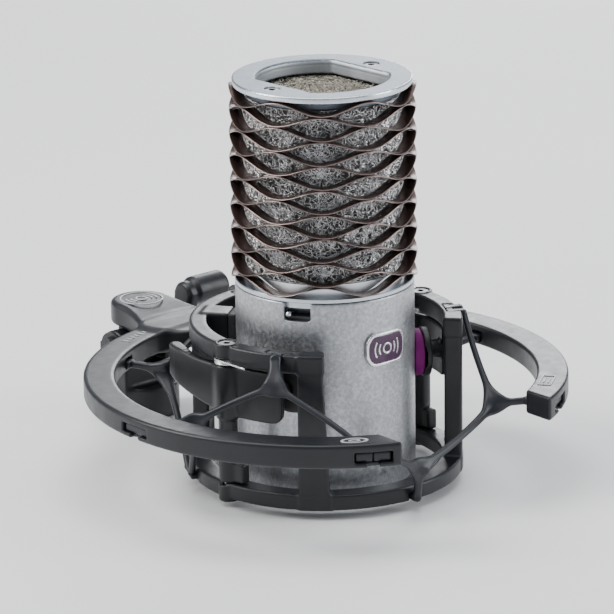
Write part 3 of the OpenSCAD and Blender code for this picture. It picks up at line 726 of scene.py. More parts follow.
def add_side_wires(part, inner, seed, steps=13):
    rng = np.random.default_rng(seed)
    count = 7200 // 3
    curl = curls(count, steps, 0.62, seed + 50)
    arc_run = rng.uniform(0, 2 * pi * MESH_R, count)[:, None]
    z = rng.uniform(77.4, 139.0, count)[:, None]
    angle = (arc_run + curl[:, :, 0]) / MESH_R
    z = np.clip(z + curl[:, :, 1], 76.9, 139.6)
    weave = np.sin(np.arange(steps)[None, :] * 1.3 + rng.uniform(0, 6, count)[:, None])
    radius = np.clip(inner + 0.22 * weave + rng.normal(0, 0.05, (count, 1)), 27.1, 28.30)
    paths = np.stack([radius * np.cos(angle), radius * np.sin(angle), z], 2)
    verts, faces = tubes(paths, rng.uniform(0.12, 0.17, count), 3 if part == 0 else 4)
    place(mesh_object("mesh_wires_%d" % part, verts, faces, "wire"), "mic", None)


def add_side_shade_sheet(around=256, corner_r=0.05):
    corners = np.array(SHADE_SHEET)
    outline = []
    for i, corner in enumerate(corners):
        back, ahead = corners[i - 1] - corner, corners[(i + 1) % len(corners)] - corner
        back_len, ahead_len = np.linalg.norm(back), np.linalg.norm(ahead)
        cut = min(corner_r, back_len * 0.45, ahead_len * 0.45)
        outline += bezier(corner + back / back_len * cut, corner,
                          corner + ahead / ahead_len * cut, 2)
    radius, z = np.array(outline).T
    angle = np.linspace(0, 2 * pi, around, endpoint=False)
    verts = np.stack([np.outer(np.cos(angle), radius), np.outer(np.sin(angle), radius),
                      np.tile(z, (around, 1))], 2).reshape(-1, 3)
    # dark sheet behind the side wires, painted shade
    shade_sheet = mesh_object("mesh_shade_sheet", verts, loop_quads(around, len(z)), "mesh_painted_shade")
    place(shade_sheet, "mic", "mesh_filter")


def add_top_wires(steps=14):
    rng = np.random.default_rng(31)
    count = 1250
    curl = curls(count, steps, 0.55, 77)
    x = rng.uniform(-20, 20, count)[:, None] + curl[:, :, 0]
    y = rng.uniform(-24.5, 24.5, count)[:, None] + curl[:, :, 1]
    x = np.clip(x, -21.3, 21.3)
    pull = np.minimum(1, 26.0 / np.maximum(np.hypot(x, y), 1e-6))
    weave = np.sin(np.arange(steps)[None, :] * 1.25 + rng.uniform(0, 6, count)[:, None])
    paths = np.stack([x * pull, y * pull, 139.05 + 0.30 * weave], 2)
    verts, faces = tubes(paths, rng.uniform(0.13, 0.18, count), 4)
    wires = mesh_object("top_mesh_wires", verts, faces, "wire_top")
    place(wires, "mic", None)


def top_shade_sheet(pos):
    """thin, faintly quilted plate under the top opening"""
    x, y, z = turn(pos, TOP_TURN)
    outline = np.maximum(np.abs(x) - 21.6, np.hypot(x, y) - 26.5)
    quilt = 0.05 * np.sin(x * 2.1) * np.sin(y * 2.3)
    return rounded(0.1, outline, np.abs(z - 138.1) - 0.35 - quilt)


for part, (inner, seed) in enumerate(((27.35, 11), (27.75, 12), (28.05, 13))):
    add_side_wires(part, inner, seed)
add_side_shade_sheet()
add_top_wires()
# the dark plate under the top wires is painted shade, like the side sheet
skin("top_mesh_shade_sheet", top_shade_sheet, (-23.9, -27.5, 137.3), (23.9, 27.5, 138.9), 0.55,
     "mesh_painted_shade", "mic", "top_mesh", "wire_mesh_top")

# ------------------------------------------------------------------
# switch toggles: a satin shaft with a polished ball at its end
# ------------------------------------------------------------------
TOGGLE_Y, TOGGLE_Z = -3.2, 66.3   # toggle axis, sideways in its opening, and height
BALL_X, BALL_R = 31.3, 1.15
# distance out from the microphone's axis, radius
SHAFT = [(25.7, 0.0), (25.7, 1.08), (26.7, 1.08), (27.0, 0.92), (30.35, 0.80), (30.5, 0.86)]


def add_toggle(node, deg, sides=32):
    ball = [(BALL_X - BALL_R * math.cos(t), BALL_R * math.sin(t))
            for t in np.linspace(math.radians(46), math.radians(180), 14)]
    out, radius = np.array(SHAFT + ball).T
    angle = np.linspace(0, 2 * pi, sides, endpoint=False)
    x = np.repeat(out, sides)
    y = (TOGGLE_Y + np.outer(radius, np.cos(angle))).ravel()
    z = (TOGGLE_Z + np.outer(radius, np.sin(angle))).ravel()
    verts = np.stack(turn((x, y, z), -deg), 1)
    faces = tube_quads(1, len(out), sides)
    on_ball = np.arange(len(faces)) // sides >= len(SHAFT) - 1
    toggle = mesh_object(node + "_turned", verts, faces, "shaft chrome", on_ball)
    place(toggle, node, node)


for node, deg in zip(("pad_switch_toggle", "lowcut_switch_toggle"), SWITCH_TURNS):
    add_toggle(node, deg)

# ------------------------------------------------------------------
# badge
# ------------------------------------------------------------------
BADGE_Z = 52.2


def badge_outline(x, z, inset):
    """long octagon with softened corners"""
    x, z = np.abs(x), np.abs(z - BADGE_Z)
    sides = np.maximum(x - 9.0 + inset, z - 6.05 + inset)
    return soft_max(sides, (x * 0.80 + z * 0.60) - 8.9 + inset, 1.1)


def ring_and_arcs(across, up, ring_r, ring_half, arc_radii, arc_half):
    """a ring between pairs of arcs that open left and right"""
    radius = np.hypot(across, up)
    shape = np.abs(radius - ring_r) - ring_half
    for arc_r in arc_radii:
        pair = np.maximum(np.abs(radius - arc_r) - arc_half, np.abs(up) - np.abs(across) * 0.62)
        shape = np.minimum(shape, pair)
    return shape


def badge_motif(x, z):
    return ring_and_arcs(x, z - BADGE_Z, 1.75, 0.35, (3.6, 5.4), 0.33)


def badge_plate(pos):
    """plate with a recessed field and the raised motif"""
    x, y, z = pos
    radius = np.hypot(x, y)
    dist = rounded(0.3, badge_outline(x, z, 0.0), np.abs(radius - 32.75) - 0.7)
    inner = badge_outline(x, z, 1.05)
    dist = soft_max(dist, -rounded(0.12, inner, 33.02 - radius), 0.12)
    raised = rounded(0.1, np.maximum(badge_motif(x, z), inner), np.abs(radius - 33.1) - 0.27)
    return np.maximum(np.minimum(dist, raised), y + 20)


def badge_fill(pos):
    x, y, z = pos
    dist = rounded(0.06, badge_outline(x, z, 1.1), np.abs(np.hypot(x, y) - 33.07) - 0.14)
    return np.maximum(np.maximum(dist, -(badge_motif(x, z) - 0.06)), y + 20)


BADGE_BOX = (-10.6, -34.0, 45.0), (10.6, -29.8, 59.4)
skin("badge_plate", badge_plate, *BADGE_BOX, 0.2, "badge", "mic", "badge_base", "badge_metal",
     polish=4)
skin("badge_enamel_fill", badge_fill, *BADGE_BOX, 0.2, "enamel", "mic", "badge_enamel",
     "badge_purple")

# ------------------------------------------------------------------
# cage and its rear pads
# ------------------------------------------------------------------
REAR_TURN = 54                    # rear pads and their blocks, mirrored in x
# turn, half width of the mouth
UPPER_POCKETS = (-151.7, 1.8), (-30, 4.4), (90, 1.8)
LOWER_POCKETS = (-92.2, 1.8), (30, 1.8), (150, 4.4)


def pocket(pos, deg, bottom, top, half):
    """T-shaped pocket, its mouth facing out"""
    return np.minimum(box(pos, (43.8, -5.0, bottom), (46.6, 5.0, top), 0.3, deg),
                      box(pos, (46.0, -half, bottom), (52, half, top), 0.3, deg))


def cage(pos):
    x, y, z = pos
    half = (np.abs(x), y, z)
    from_pivot = np.hypot(half[0] - PIVOT_X, y)
    # upper ring, open at the front, and the full lower ring
    upper = arc(pos, (42.4, 48.7), (49.8, 56.5), 0.7, (-47.8, 227.8))
    upper = soft_max(upper, -rounded(0.1, from_pivot - 5.0, z - 51.4), 0.3)
    dist = np.minimum(upper, arc(pos, (41.0, 48.7), (-0.3, 5.4), 0.7))
    # front posts, with a slanting front edge
    post = arc(half, (42.6, 49.0), (0, 56.4), 0.7, (-53, -36.8))
    slant = -47.5 - 2.9 * np.clip(1 - z / 50.0, 0, 1) - np.degrees(np.arctan2(y, half[0]))
    post = soft_max(post, slant * math.radians(1) * 45.5, 0.9)
    dist = soft_min(dist, post, 1.3)
    # rear posts, with blocks that carry the pads
    post = arc(half, (42.6, 48.55), (0, 54), 0.7, (48, 60))
    block = box(half, (34.7, -5.2, 34), (45, 5.2, 57), 0.8, REAR_TURN)
    dist = soft_min(dist, soft_min(post, block, 1.0), 0.9)
    # pivot bosses and their bores
    boss = np.minimum(upright(half, PIVOT_X, 0, 4.3, (51.4, 56.9), 0.45),
                      upright(half, PIVOT_X, 0, 3.7, (-1.7, 4.4), 0.6))
    dist = soft_min(dist, boss, 0.5)
    dist = np.maximum(dist, -rounded(0.0, from_pivot - 2.05, -1.3 - z))
    dist = soft_max(dist, -rounded(0.0, from_pivot - 3.1, 54.6 - z), 0.25)
    for pockets, bottom, top in ((UPPER_POCKETS, 54.0, 60), (LOWER_POCKETS, -6, 2.5)):
        for deg, mouth in pockets:
            dist = soft_max(dist, -pocket(pos, deg, bottom, top, mouth), 0.35)
    return dist


def rear_pad(pos):
    """ribbed block, hollowed to the body's curve"""
    x, y, z = pos
    half = (np.abs(x), y, z)
    dist = box(half, (31.0, -4.9, 34.3), (34.7, 4.9, 56.7), 0.5, REAR_TURN)
    for k in range(5):
        centre = (31.6, 0, 38.0 + k * 3.8)
        groove = rod(turn(half, REAR_TURN), centre, (0, 1, 0), 0.55, 12, 0.1)
        dist = soft_max(dist, -groove, 0.3)
    return soft_max(dist, -(np.hypot(x, y) - 32.15), 0.3)


def add_rear_pads():
    verts, faces = surface(rear_pad, (14, 20, 33.5), (27, 33, 57.5), 0.5)
    verts, faces = join([(verts, faces), (verts * (-1, 1, 1), faces[:, ::-1])])
    pads = mesh_object("rear_pad_skins", verts, faces, "rubber")
    place(pads, "cage", "rear_pads")


skin("cage_frame_skin", cage, (-51.8, -49.8, -2.8), (51.8, 49.8, 58.2), 0.6, "mount",
     "cage", "cage_frame", "mount_plastic")
add_rear_pads()

# ------------------------------------------------------------------
# jaws: the left one is drawn, the right one mirrors it
# ------------------------------------------------------------------
PAD_TURN, PAD_Z = -150, 40.8
LEVER_PIECES = 12


def finger_lever(pos):
    """curved wall that runs back from the hub, waisted and rising at its end"""
    line = bezier((-47.0, 1.0), (-50.2, 17.0), (-45.2, 29.4), LEVER_PIECES)
    dist = np.inf
    for k in range(LEVER_PIECES):
        parts = k / LEVER_PIECES, (k + 1) / LEVER_PIECES
        eases = [np.clip((u - 0.35) / 0.5, 0, 1) for u in parts]
        tops = [48.6 + 1.1 * ease ** 2 * (3 - 2 * ease) for ease in eases]
        bottoms = [31.5 + 6.5 * u ** 1.2 for u in parts]
        halves = [2.3 - 0.75 * math.sin(pi * min(1.0, u * 1.25)) for u in parts]
        piece = wall(pos, line[k], line[k + 1], halves, bottoms, tops, 0.9)
        dist = np.minimum(dist, piece)
    return dist


def pad_stub(pos, radius, half, edge):
    """rod from the jaw's arm into the pad backing"""
    return rod(turn(pos, -155), (39.9, 0, 40.4), (1, 0, 0), radius, half, edge)


def jaw(pos):
    x, y, z = pos
    hub = upright(pos, -PIVOT_X, 0, 4.2, (29.0, 48.9), 0.8)
    sleeve = upright(pos, -PIVOT_X, 0, 3.4, (5.5, 30.0), 0.5)
    arm = arc(pos, (43.0, 46.6), (30.0, 48.8), 0.9, (-178, -150.8))
    # the arm's lower front corner is rounded
    along = (np.arctan2(y, x) + math.radians(150.8)) * 44.8
    cut = 3.8 - np.hypot(np.maximum(along + 3.8, 0), np.maximum(33.8 - z, 0))
    arm = soft_max(arm, -np.where((along > -3.8) & (z < 33.8), cut, 3.8), 0.6)
    foot = arc(pos, (43.4, 47.3), (5.65, 13), 0.8, (-178, -170.2))
    dist = soft_min(soft_min(hub, arm, 1.6), finger_lever(pos), 2.0)
    dist = soft_min(dist, soft_min(sleeve, foot, 1.5), 1.2)
    dist = soft_min(dist, pad_stub(pos, 3.2, 3.6, 0.4), 1.0)
    return np.maximum(np.maximum(dist, -(np.hypot(x + PIVOT_X, y) - 2.06)), 5.5 - z)


def pad_backing(pos):
    disc = rod(turn(pos, PAD_TURN), (36.2, 0, PAD_Z), (1, 0, 0), 8.9, 1.33, 0.55)
    return np.maximum(disc, -pad_stub(pos, 3.3, 3.75, 0.2))


def pad(pos):
    """soft disc, crowned at its rim with a shallow channel round the edge"""
    x, y, z = turn(pos, PAD_TURN)
    radius = np.hypot(y, z - PAD_Z)
    dist = rounded(0.8, radius - 8.6 + 0.10 * np.cos(x - 32), np.abs(x - 32.65) - 2.14)
    dist = soft_max(dist, -(np.hypot(radius - 8.75, x - 34.0) - 0.35), 0.3)
    return soft_max(dist, -(np.hypot(pos[0], pos[1]) - 32.15), 0.5)


def add_jaws():
    shapes = (
        ("_jaw_skin", "_jaw", "jaw", "jaw_plastic",
         surface(jaw, (-53.2, -25.8, 4.4), (-33.0, 33.6, 50.8), 0.42, polish=5)),
        ("_backing_skin", "_pad_backing", "backing", "jaw_plastic",
         surface(pad_backing, (-41.5, -28.5, 31.8), (-26.5, -8.5, 51.2), 0.42)),
        ("_pad_cushion", "_pad", "pad", "pad_magenta",
         surface(pad, (-38.0, -27.5, 32.0), (-21.5, -7.0, 51.0), 0.42)))
    for side, sign in (("left", 1), ("right", -1)):
        for name, node, key, slot, (verts, faces) in shapes:
            made = mesh_object(side + name, verts * (sign, 1, 1), faces[:, ::sign], key)
            place(made, side + "_jaw", side + node)


def add_torsion_springs(coil_r=4.2, top=50.97, drop=1.62):
    """one wire each: a straight arm, a coil of 2.5 turns and a short arm"""
    wires = []
    for side in (-1, 1):
        turned = np.linspace(0, 2.5 * 2 * pi, 100)
        wire = [(side * coil_r, y, top) for y in np.linspace(-14.6, -0.6, 8)]
        wire += [(side * coil_r * math.cos(t), coil_r * math.sin(t), top - drop * t / turned[-1])
                 for t in turned]
        wire += [(-side * (coil_r - 0.10 * k), -0.9 * k, top - drop) for k in range(1, 9)]
        wires.append(np.array(wire) + (side * PIVOT_X, 0, 0))
    verts, faces = tubes(np.array(wires), np.array([0.36, 0.36]), 10, (0, 0, 1))
    coils = mesh_object("spring_coils", verts, faces, "spring")
    place(coils, "cage", "torsion_springs")


add_jaws()
add_torsion_springs()

# ------------------------------------------------------------------
# outer ring: its two front arms hang very slightly
# ------------------------------------------------------------------
ANCHOR_TURNS = (-120.5, -58.5, 178, 120, 60, 2)   # slots for the lyres' heads


def sag(verts, share=1.0):
    verts = verts.copy()
    fade = 0.25 + 0.75 * (RING_Z[1] - verts[:, 2]) / (RING_Z[1] - RING_Z[0])
    drop = 0.0165 * np.minimum(verts[:, 1], 0.0) * share
    verts[:, 2] += drop * np.clip(fade, 0.25, 1.0)
    return verts


def outer_ring(pos):
    x, y, z = pos
    dist = arc(pos, (75.7, 87.0), RING_Z, 1.0)
    # gap at the front
    dist = soft_max(dist, np.where(y < 0, 35.0 - np.abs(x), -50.0), 0.9)
    # teardrop boss that runs down into the ring
    part = np.clip((STAND_Y - y) / 20.0, 0, 1)
    side = np.hypot(x, y - (STAND_Y - 20.0 * part)) - (11.5 + 5.0 * part * part)
    boss = rounded(1.7, side, span(z, 31.5 - 1.4 * part, 40.4 - 3.5 * part ** 1.5))
    dist = soft_min(dist, boss, 4.5)
    # lug below it, bored for the tilt bolt
    lug = soft_min(box(pos, (-5.9, 97, 24), (5.9, 111, 34), 0.5),
                   cross_rod(pos, TILT_Z, 7.0, (-5.9, 5.9), 0.5), 0.4)
    dist = soft_min(dist, lug, 1.0)
    bore = -(from_cross_axis(pos, TILT_Z) - 3.05)
    dist = np.maximum(dist, bore - np.where(z > 32, 100, 0))
    for deg in ANCHOR_TURNS:
        slot = box(pos, (73, -3.3, 30.8), (85, 3.3, 34.2), 0.25, deg)
        slot = np.minimum(slot, box(pos, (83.4, -6.8, 30.8), (92, 6.8, 34.2), 0.35, deg))
        slot = np.minimum(slot, box(pos, (84.6, -2.2, 27.0), (92, 2.2, 31.5), 0.3, deg))
        dist = soft_max(dist, -slot, 0.35)
    return dist


MARK_Z = 36.95


def raised(outline, z, height=MARK_Z, half=0.22):
    return rounded(0.08, outline, np.abs(z - height) - half)


def oval_mark(pos):
    """two nested ovals on the front left arm"""
    x, y, z = turn((pos[0] + 46.5, pos[1] + 67.5, pos[2]), -31)
    radius = np.hypot(x / 1.9, y)
    return raised(np.minimum(np.abs(radius - 2.3) - 0.26, np.abs(radius - 0.9) - 0.22), z)


def frame_mark(pos):
    """rectangle with two bars inside, on the front right arm"""
    x, y, z = turn((pos[0] - 48.2, pos[1] + 64.2, pos[2]), 36)
    x, y = np.abs(x), np.abs(y)
    rectangle = np.abs(np.maximum(x - 5.2, y - 2.2)) - 0.26
    return raised(np.minimum(rectangle, np.maximum(np.abs(y - 0.8) - 0.25, x - 2.6)), z)


def boss_mark(pos):
    """ring and arcs on top of the teardrop boss"""
    x, y, z = pos
    y = y - STAND_Y
    motif = ring_and_arcs(x, y, 2.0, 0.28, (3.9, 5.8), 0.28)
    return raised(np.minimum(motif, np.abs(np.hypot(x, y) - 7.9) - 0.3), z, 40.45)


def scale_mark(pos, middle=98.5, pitch=1.75, radius=81.3):
    """graduated row of ticks on the rear arc, each fourth one longer"""
    x, y, z = pos
    deg = np.degrees(np.arctan2(y, x))
    tick = np.clip(np.round((deg - middle) / pitch), -8, 8)
    off = (deg - middle - tick * pitch) * math.radians(1) * radius
    length = np.where(np.abs(tick) % 4 == 0, 1.9, 1.1)
    outline = np.maximum(np.abs(off) - 0.3, np.abs(np.hypot(x, y) - radius) - length)
    return raised(outline, z, half=0.2)


def add_outer_ring():
    verts, faces = surface(outer_ring, (-88.2, -81.5, 16.0), (88.2, 116.8, 41.8), 0.62)
    ring = mesh_object("outer_ring_skin", sag(verts), faces, "mount")
    place(ring, "ring", "outer_ring")
    verts, faces = join([surface(field, low, high, cell, polish=2) for field, low, high, cell in (
        (oval_mark, (-54, -73, 36.4), (-39, -62, 37.5), 0.25),
        (frame_mark, (41, -71, 36.4), (55.5, -57.5, 37.5), 0.25),
        (boss_mark, (-8.8, 95.2, 39.9), (8.8, 112.8, 41.0), 0.25),
        (scale_mark, (-33, 72, 36.4), (10, 85, 37.5), 0.3))])
    # the raised marks take the light material, a painted highlight
    marks = mesh_object("ring_marks", sag(verts), faces, "mark")
    place(marks, "ring", None)


add_outer_ring()

# ------------------------------------------------------------------
# lyres: each one bends between the ring and the cage
# ------------------------------------------------------------------
HOOK_R, UPPER_Z, LOWER_Z = 50.3, 55.3, 1.2
NARROW_W, WIDE_W = 6.2, 12.6      # the two T-shaped heads held by the ring
# Joint N leads to the narrow head and hook N, joint W to the wide head and hook W.
# narrow head (turn, sideways offset), wide head (turn),
# joint N, joint W (radius, turn, z), hook N, hook W (turn, z),
# facing of the web (turn, tilt), sideways bows (joint to joint, narrow head, hook W),
# widths of the bars to hook N and hook W
LYRES = {
    "front_lyre": ((-120.5, 1.63), -58.5, (59, -97.8, 16.1), (63.2, -60.6, 30.3),
                   (-92.2, LOWER_Z), (-33.2, UPPER_Z), (-122.0, 12.0), (1.2, 0.6, 0.8),
                   (2.8, 2.2)),
    "right_lyre": ((60, -1.65), 2, (59, 36.5, 16.1), (63.2, 4.1, 30.3),
                   (30, LOWER_Z), (-26.8, UPPER_Z), (65.5, 12.0), (-1.2, -0.6, -0.8),
                   (2.8, 2.2)),
    "left_lyre": ((-120.5, -1.63), 178, (57, -149.5, 47.6), (62, 180, 30.3),
                  (-151.7, UPPER_Z), (153.2, LOWER_Z), (-141.0, 16.0), (0.8, 0.6, 0.5),
                  (3.8, 2.4)),
    "rear_lyre": ((60, 1.65), 120, (57, 88, 47.6), (62, 118, 30.5),
                  (90, UPPER_Z), (146.8, LOWER_Z), (79.5, 16.0), (-0.8, -0.6, -0.5),
                  (3.8, 2.4)),
}


def lyre_bar(start, end, bow, widths):
    """flatness and pieces (start, end, start width, end width) of one bowed bar;
    widths are at its start, middle and end"""
    run = (end - start)[:2]
    control = (start + end) / 2
    control[:2] += np.array([-run[1], run[0]]) / np.hypot(*run) * bow * 2
    points = bezier(start, control, end, 8)
    first, middle, last = widths
    sizes = [middle + (first - middle) * max(0, 1 - u / 0.45) ** 2
             + (last - middle) * max(0, (u - 0.55) / 0.45) ** 2 for u in np.linspace(0, 1, 9)]
    flatness = np.hypot(*run) / np.linalg.norm(end - start)
    return max(flatness, 0.55), list(zip(points, points[1:], sizes, sizes[1:]))


def add_lyre(name, narrow, wide, joint_n, joint_w, hook_n, hook_w, facing, bows, hook_widths):
    # axes: along the web, up the web, out of the web
    tilt = math.radians(facing[1])
    out = np.array(polar(math.cos(tilt), facing[0], math.sin(tilt)))
    along = np.cross((0, 0, 1.0), out)
    along /= np.linalg.norm(along)
    axes = np.stack([along, np.cross(out, along), out])

    narrow_turn, offset = narrow
    head_n = polar(75.6, narrow_turn + offset * 0.75, 32.3)
    head_w = polar(75.6, wide, 32.0)
    joint_n, joint_w = polar(*joint_n), polar(*joint_w)
    end_n, end_w = polar(HOOK_R, *hook_n), polar(HOOK_R, *hook_w)
    lift = 1.0 if hook_w[1] < 20 else 0.0
    at_joint_n, at_joint_w, at_head_n, at_head_w, at_hook_n, at_hook_w = (
        axes @ np.array(point, float) for point in
        (joint_n, joint_w, head_n, head_w, end_n, np.array(end_w) + (0, 0, lift)))
    width_n, width_w = hook_widths
    bars = [lyre_bar(at_joint_w, at_joint_n, bows[0], (3.4, 2.5, 3.2)),
            lyre_bar(at_joint_w, at_head_w, 0, (3.4, 2.5, 2.5)),
            lyre_bar(at_joint_n, at_head_n, bows[1], (3.2, 2.1, 2.1 * 0.85)),
            lyre_bar(at_joint_w, at_hook_w, bows[2], (3.4, width_w, width_w * 0.9)),
            lyre_bar(at_joint_n, at_hook_n, 0, (3.4, width_n, width_n * 1.1))]

    def web(pos):
        x, y, z = pos
        across, up, depth = (axis[0] * x + axis[1] * y + axis[2] * z for axis in axes)
        outline, weights, mid_sum, flat_sum = np.inf, 1e-12, 0, 0
        for flatness, pieces in bars:
            best, middle = np.inf, 0
            for start, end, start_w, end_w_ in pieces:
                run, rise = end[0] - start[0], end[1] - start[1]
                part = (across - start[0]) * run + (up - start[1]) * rise
                part = np.clip(part / (run * run + rise * rise), 0, 1)
                gap = np.hypot(across - start[0] - part * run, up - start[1] - part * rise)
                gap = gap - (start_w + (end_w_ - start_w) * part) / 2
                middle = np.where(gap < best, start[2] + (end[2] - start[2]) * part, middle)
                best = np.minimum(best, gap)
            outline = soft_min(outline, best, 5.0)
            weight = np.exp(-np.clip(best + 1.5, 0, 14) * 0.8)
            mid_sum = mid_sum + weight * middle
            weights = weights + weight
            flat_sum = flat_sum + weight * flatness
        thickness = np.abs(depth - mid_sum / weights) * (flat_sum / weights) - 1.25
        dist = rounded(0.95, outline, thickness)
        for deg, off, width in ((narrow_turn, offset, NARROW_W), (wide, 0.0, WIDE_W)):
            neck = box(pos, (74.2, off - width / 4.6, 30.95),
                       (83.8, off + width / 4.6, 33.3), 0.5, deg)
            head = box(pos, (83.6, off * 1.95 - width / 2, 30.95),
                       (85.7, off * 1.95 + width / 2, 34.05), 0.6, deg)
            dist = np.minimum(soft_min(dist, neck, 0.9), head)
        for (deg, height), half in ((hook_w, 2.3), (hook_n, 4.85)):
            neck = box(pos, (46.0, -1.55, height - 1.05), (50.6, 1.55, height + 1.05), 0.4, deg)
            bar = box(pos, (43.95, -half, height - 1.15), (46.5, half, height + 1.05), 0.25, deg)
            dist = np.minimum(soft_min(dist, neck, 0.8), bar)
        return dist

    extent = np.array([head_n, head_w, joint_w, joint_n, end_n, end_w,
                       polar(86.5, narrow_turn, 33), polar(86.5, wide, 33),
                       polar(44, *hook_w), polar(44, *hook_n)])
    low, high = extent.min(0) - 7.5, extent.max(0) + 7.5
    low[2], high[2] = -2.4, 57.6
    verts, faces = surface(web, low, high, 0.5)

    # sags like the ring at its two heads (cage share 0) and not at all at its two hooks on the
    # cage (1)
    held = np.array([polar(80, narrow_turn, 32.5), polar(80, wide, 32.5),
                     polar(48, *hook_w), polar(48, *hook_n)])
    solved = np.linalg.solve(np.c_[held, np.ones(4)], np.array([0, 0, 1, 1.0]))
    slope, level = solved[:3], solved[3]
    cage_share = np.clip(verts @ slope + level, 0, 1)
    made = mesh_object(name + "_web", sag(verts, 1 - cage_share), faces, "lyre")
    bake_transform(made)
    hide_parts(name)


for name, design in LYRES.items():
    add_lyre(name, *design)


# ------------------------------------------------------------------
# stand adaptor and lever
# ------------------------------------------------------------------
def stand_adaptor(pos):
    """round foot, a neck and two ears either side of the ring's lug"""
    x, y, z = pos
    foot = upright(pos, 0, STAND_Y, 13.5, (-3.5, 9.0), 1.2)
    neck = np.maximum(np.abs(x) - 13.8, np.abs(y - STAND_Y) - 6.5)
    neck = rounded(0.9, neck, np.abs(z - 15.5) - 8.5)
    ears = cross_rod(pos, TILT_Z, 6.5, (-13.8, 13.8), 0.7)
    dist = soft_min(soft_min(foot, neck, 2.2), ears, 0.5)
    dist = soft_max(dist, -box(pos, (-6.0, 80, 16.2), (6.0, 130, 60), 0.5), 0.5)
    dist = soft_max(dist, z - 31.3, 0.5)
    dist = np.maximum(dist, -(from_cross_axis(pos, TILT_Z) - 3.05))
    return np.maximum(dist, -rounded(0.0, np.hypot(x, y - STAND_Y) - 7.9375, z - 8.0))


def tilt_lever(pos):
    """hub on the tilt bolt, a rising arm and a round bar pointing +X"""
    x, y, z = pos
    hub = cross_rod(pos, TILT_Z, 6.4, (14.9, 21.5), 0.9)
    bar = cross_rod(pos, 38.0, 5.7, (23.6, 39.2), 1.6)
    collar = cross_rod(pos, 37.6, 4.9, (19.6, 25.5), 1.4)
    part = np.clip((z - TILT_Z) / 13.4, 0, 1)
    side = np.abs(x - (18.4 + 3.8 * part)) - (2.9 - 0.7 * part)
    face = np.maximum(np.abs(y - STAND_Y) - (6.0 - 1.6 * part), np.abs(z - 31) - 7.2)
    arm = rounded(1.2, side, face)
    dist = soft_min(soft_min(hub, arm, 2.0), soft_min(bar, collar, 0.7), 1.6)
    dist = np.maximum(dist, 14.92 - x)
    return np.maximum(dist, -rounded(0.0, from_cross_axis(pos, TILT_Z) - 3.06, x - 20.3))


skin("stand_adaptor_skin", stand_adaptor, (-15.2, 89.2, -4.8), (15.2, 118.8, 32.6), 0.55,
     "mount", "stand_adaptor", "stand_adaptor", "mount_plastic")
skin("tilt_lever_skin", tilt_lever, (14.2, 96.2, 16.4), (40.4, 111.8, 44.8), 0.5,
     "mount", "tilt_lever", "tilt_lever", "mount_plastic")

# small turned and cut parts keep their CAD shape, with softened edges
for piece in ("chassis_flange mesh_collar top_screws pivot_screws tilt_bolt tilt_washers "
              "pad_switch_housing lowcut_switch_housing xlr_barrel stand_bush thread_insert "
              "base_plate").split():
    bevel = NODES[piece].modifiers.new("soft_edges", "BEVEL")
    bevel.width = 0.00012
    bevel.segments = 2
    bevel.limit_method = "ANGLE"
    bevel.angle_limit = math.radians(40)

# ------------------------------------------------------------------
# studio, in metres
# ------------------------------------------------------------------
# camera axes before its roll; forward is level
RIGHT = Vector((0.75471, -0.65606, 0))
UP = Vector((0.19116, 0.21990, 0.95661))
BACK = Vector((-0.62759, -0.72196, 0.29137))
FORWARD = Vector((-RIGHT.y, RIGHT.x, 0))


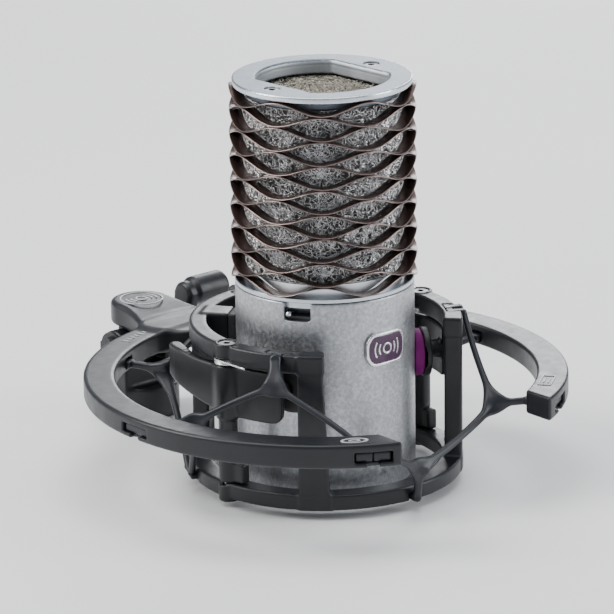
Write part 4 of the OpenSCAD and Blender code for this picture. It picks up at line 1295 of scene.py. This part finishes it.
def add_floor(near=-3.0, far=2.2, curve=1.2, half=5):
    """floor that curves up into a backdrop well behind the object"""
    mesh = bpy.data.meshes.new("floor")
    level = cad_box[0][2] - 0.0002
    rows = [(near, level), (far, level)]
    rows += [(far + curve * math.sin(t), level + curve * (1 - math.cos(t)))
             for t in np.linspace(0.1, pi / 2, 14)]
    rows.append((far + curve, level + 4.0))
    verts = []
    for depth, z in rows:
        for side in (-half, half):
            spot = FORWARD * depth + RIGHT * side
            verts.append((spot.x, spot.y, z))
    faces = [(2 * i, 2 * i + 1, 2 * i + 3, 2 * i + 2) for i in range(len(rows) - 1)]
    mesh.from_pydata(verts, [], faces)
    for polygon in mesh.polygons:
        polygon.use_smooth = True
    mat = Shader("floor_pale")
    pale = mat.ramp(mat.noise(scale=3, detail=2), [(0.3, (0.80, 0.805, 0.81)),
                                                   (0.7, (0.83, 0.83, 0.835))])
    mesh.materials.append(mat.finish(Base_Color=pale, Roughness=0.75))
    add_object("floor", mesh)


def add_world():
    world = bpy.data.worlds.new("studio")
    bpy.context.scene.world = world
    world.use_nodes = True
    background = world.node_tree.nodes["Background"]
    background.inputs["Color"].default_value = (0.80, 0.84, 0.90, 1)
    background.inputs["Strength"].default_value = 0.55


def from_camera_axes(right, up, back):
    return RIGHT * right + UP * up + BACK * back


def add_light(name, spot, target_z, size, power, colour):
    data = bpy.data.lights.new(name, "AREA")
    data.energy = power
    data.shape = "RECTANGLE"
    data.size, data.size_y = size
    data.color = colour
    light = add_object(name, data)
    light.location = spot
    aim = Vector((0, 0, target_z)) - Vector(spot)
    light.rotation_euler = aim.to_track_quat("-Z", "Y").to_euler()


def add_camera():
    data = bpy.data.cameras.new("cam")
    camera = add_object("cam", data)
    roll = math.radians(-0.79)
    right = RIGHT * math.cos(roll) + UP * math.sin(roll)
    up = UP * math.cos(roll) - RIGHT * math.sin(roll)
    pose = Matrix((right, up, BACK)).transposed().to_4x4()
    pose.translation = Vector((-1.13452, -1.29530, 0.58453))
    camera.matrix_world = pose
    data.sensor_width = 36
    data.sensor_fit = "HORIZONTAL"
    data.lens = 295.270358
    data.clip_end = 20
    data.clip_start = 0.05
    bpy.context.scene.camera = camera


add_floor()
add_world()
add_light("key_left", from_camera_axes(right=-1.0, up=0.75, back=0.35), target_z=0.07,
          size=(0.55, 0.9), power=17, colour=(1.0, 0.985, 0.96))
add_light("fill_right", from_camera_axes(right=1.15, up=0.45, back=0.25), target_z=0.07,
          size=(0.5, 0.9), power=10, colour=(0.96, 0.98, 1.0))
add_light("top_soft", (0.1, 0.2, 1.3), target_z=0.05, size=(1.0, 1.0), power=12,
          colour=(1, 1, 1))
add_light("rim_back", from_camera_axes(right=0.25, up=0.9, back=-1.1), target_z=0.08,
          size=(0.7, 0.5), power=10, colour=(0.97, 0.98, 1.0))
add_camera()
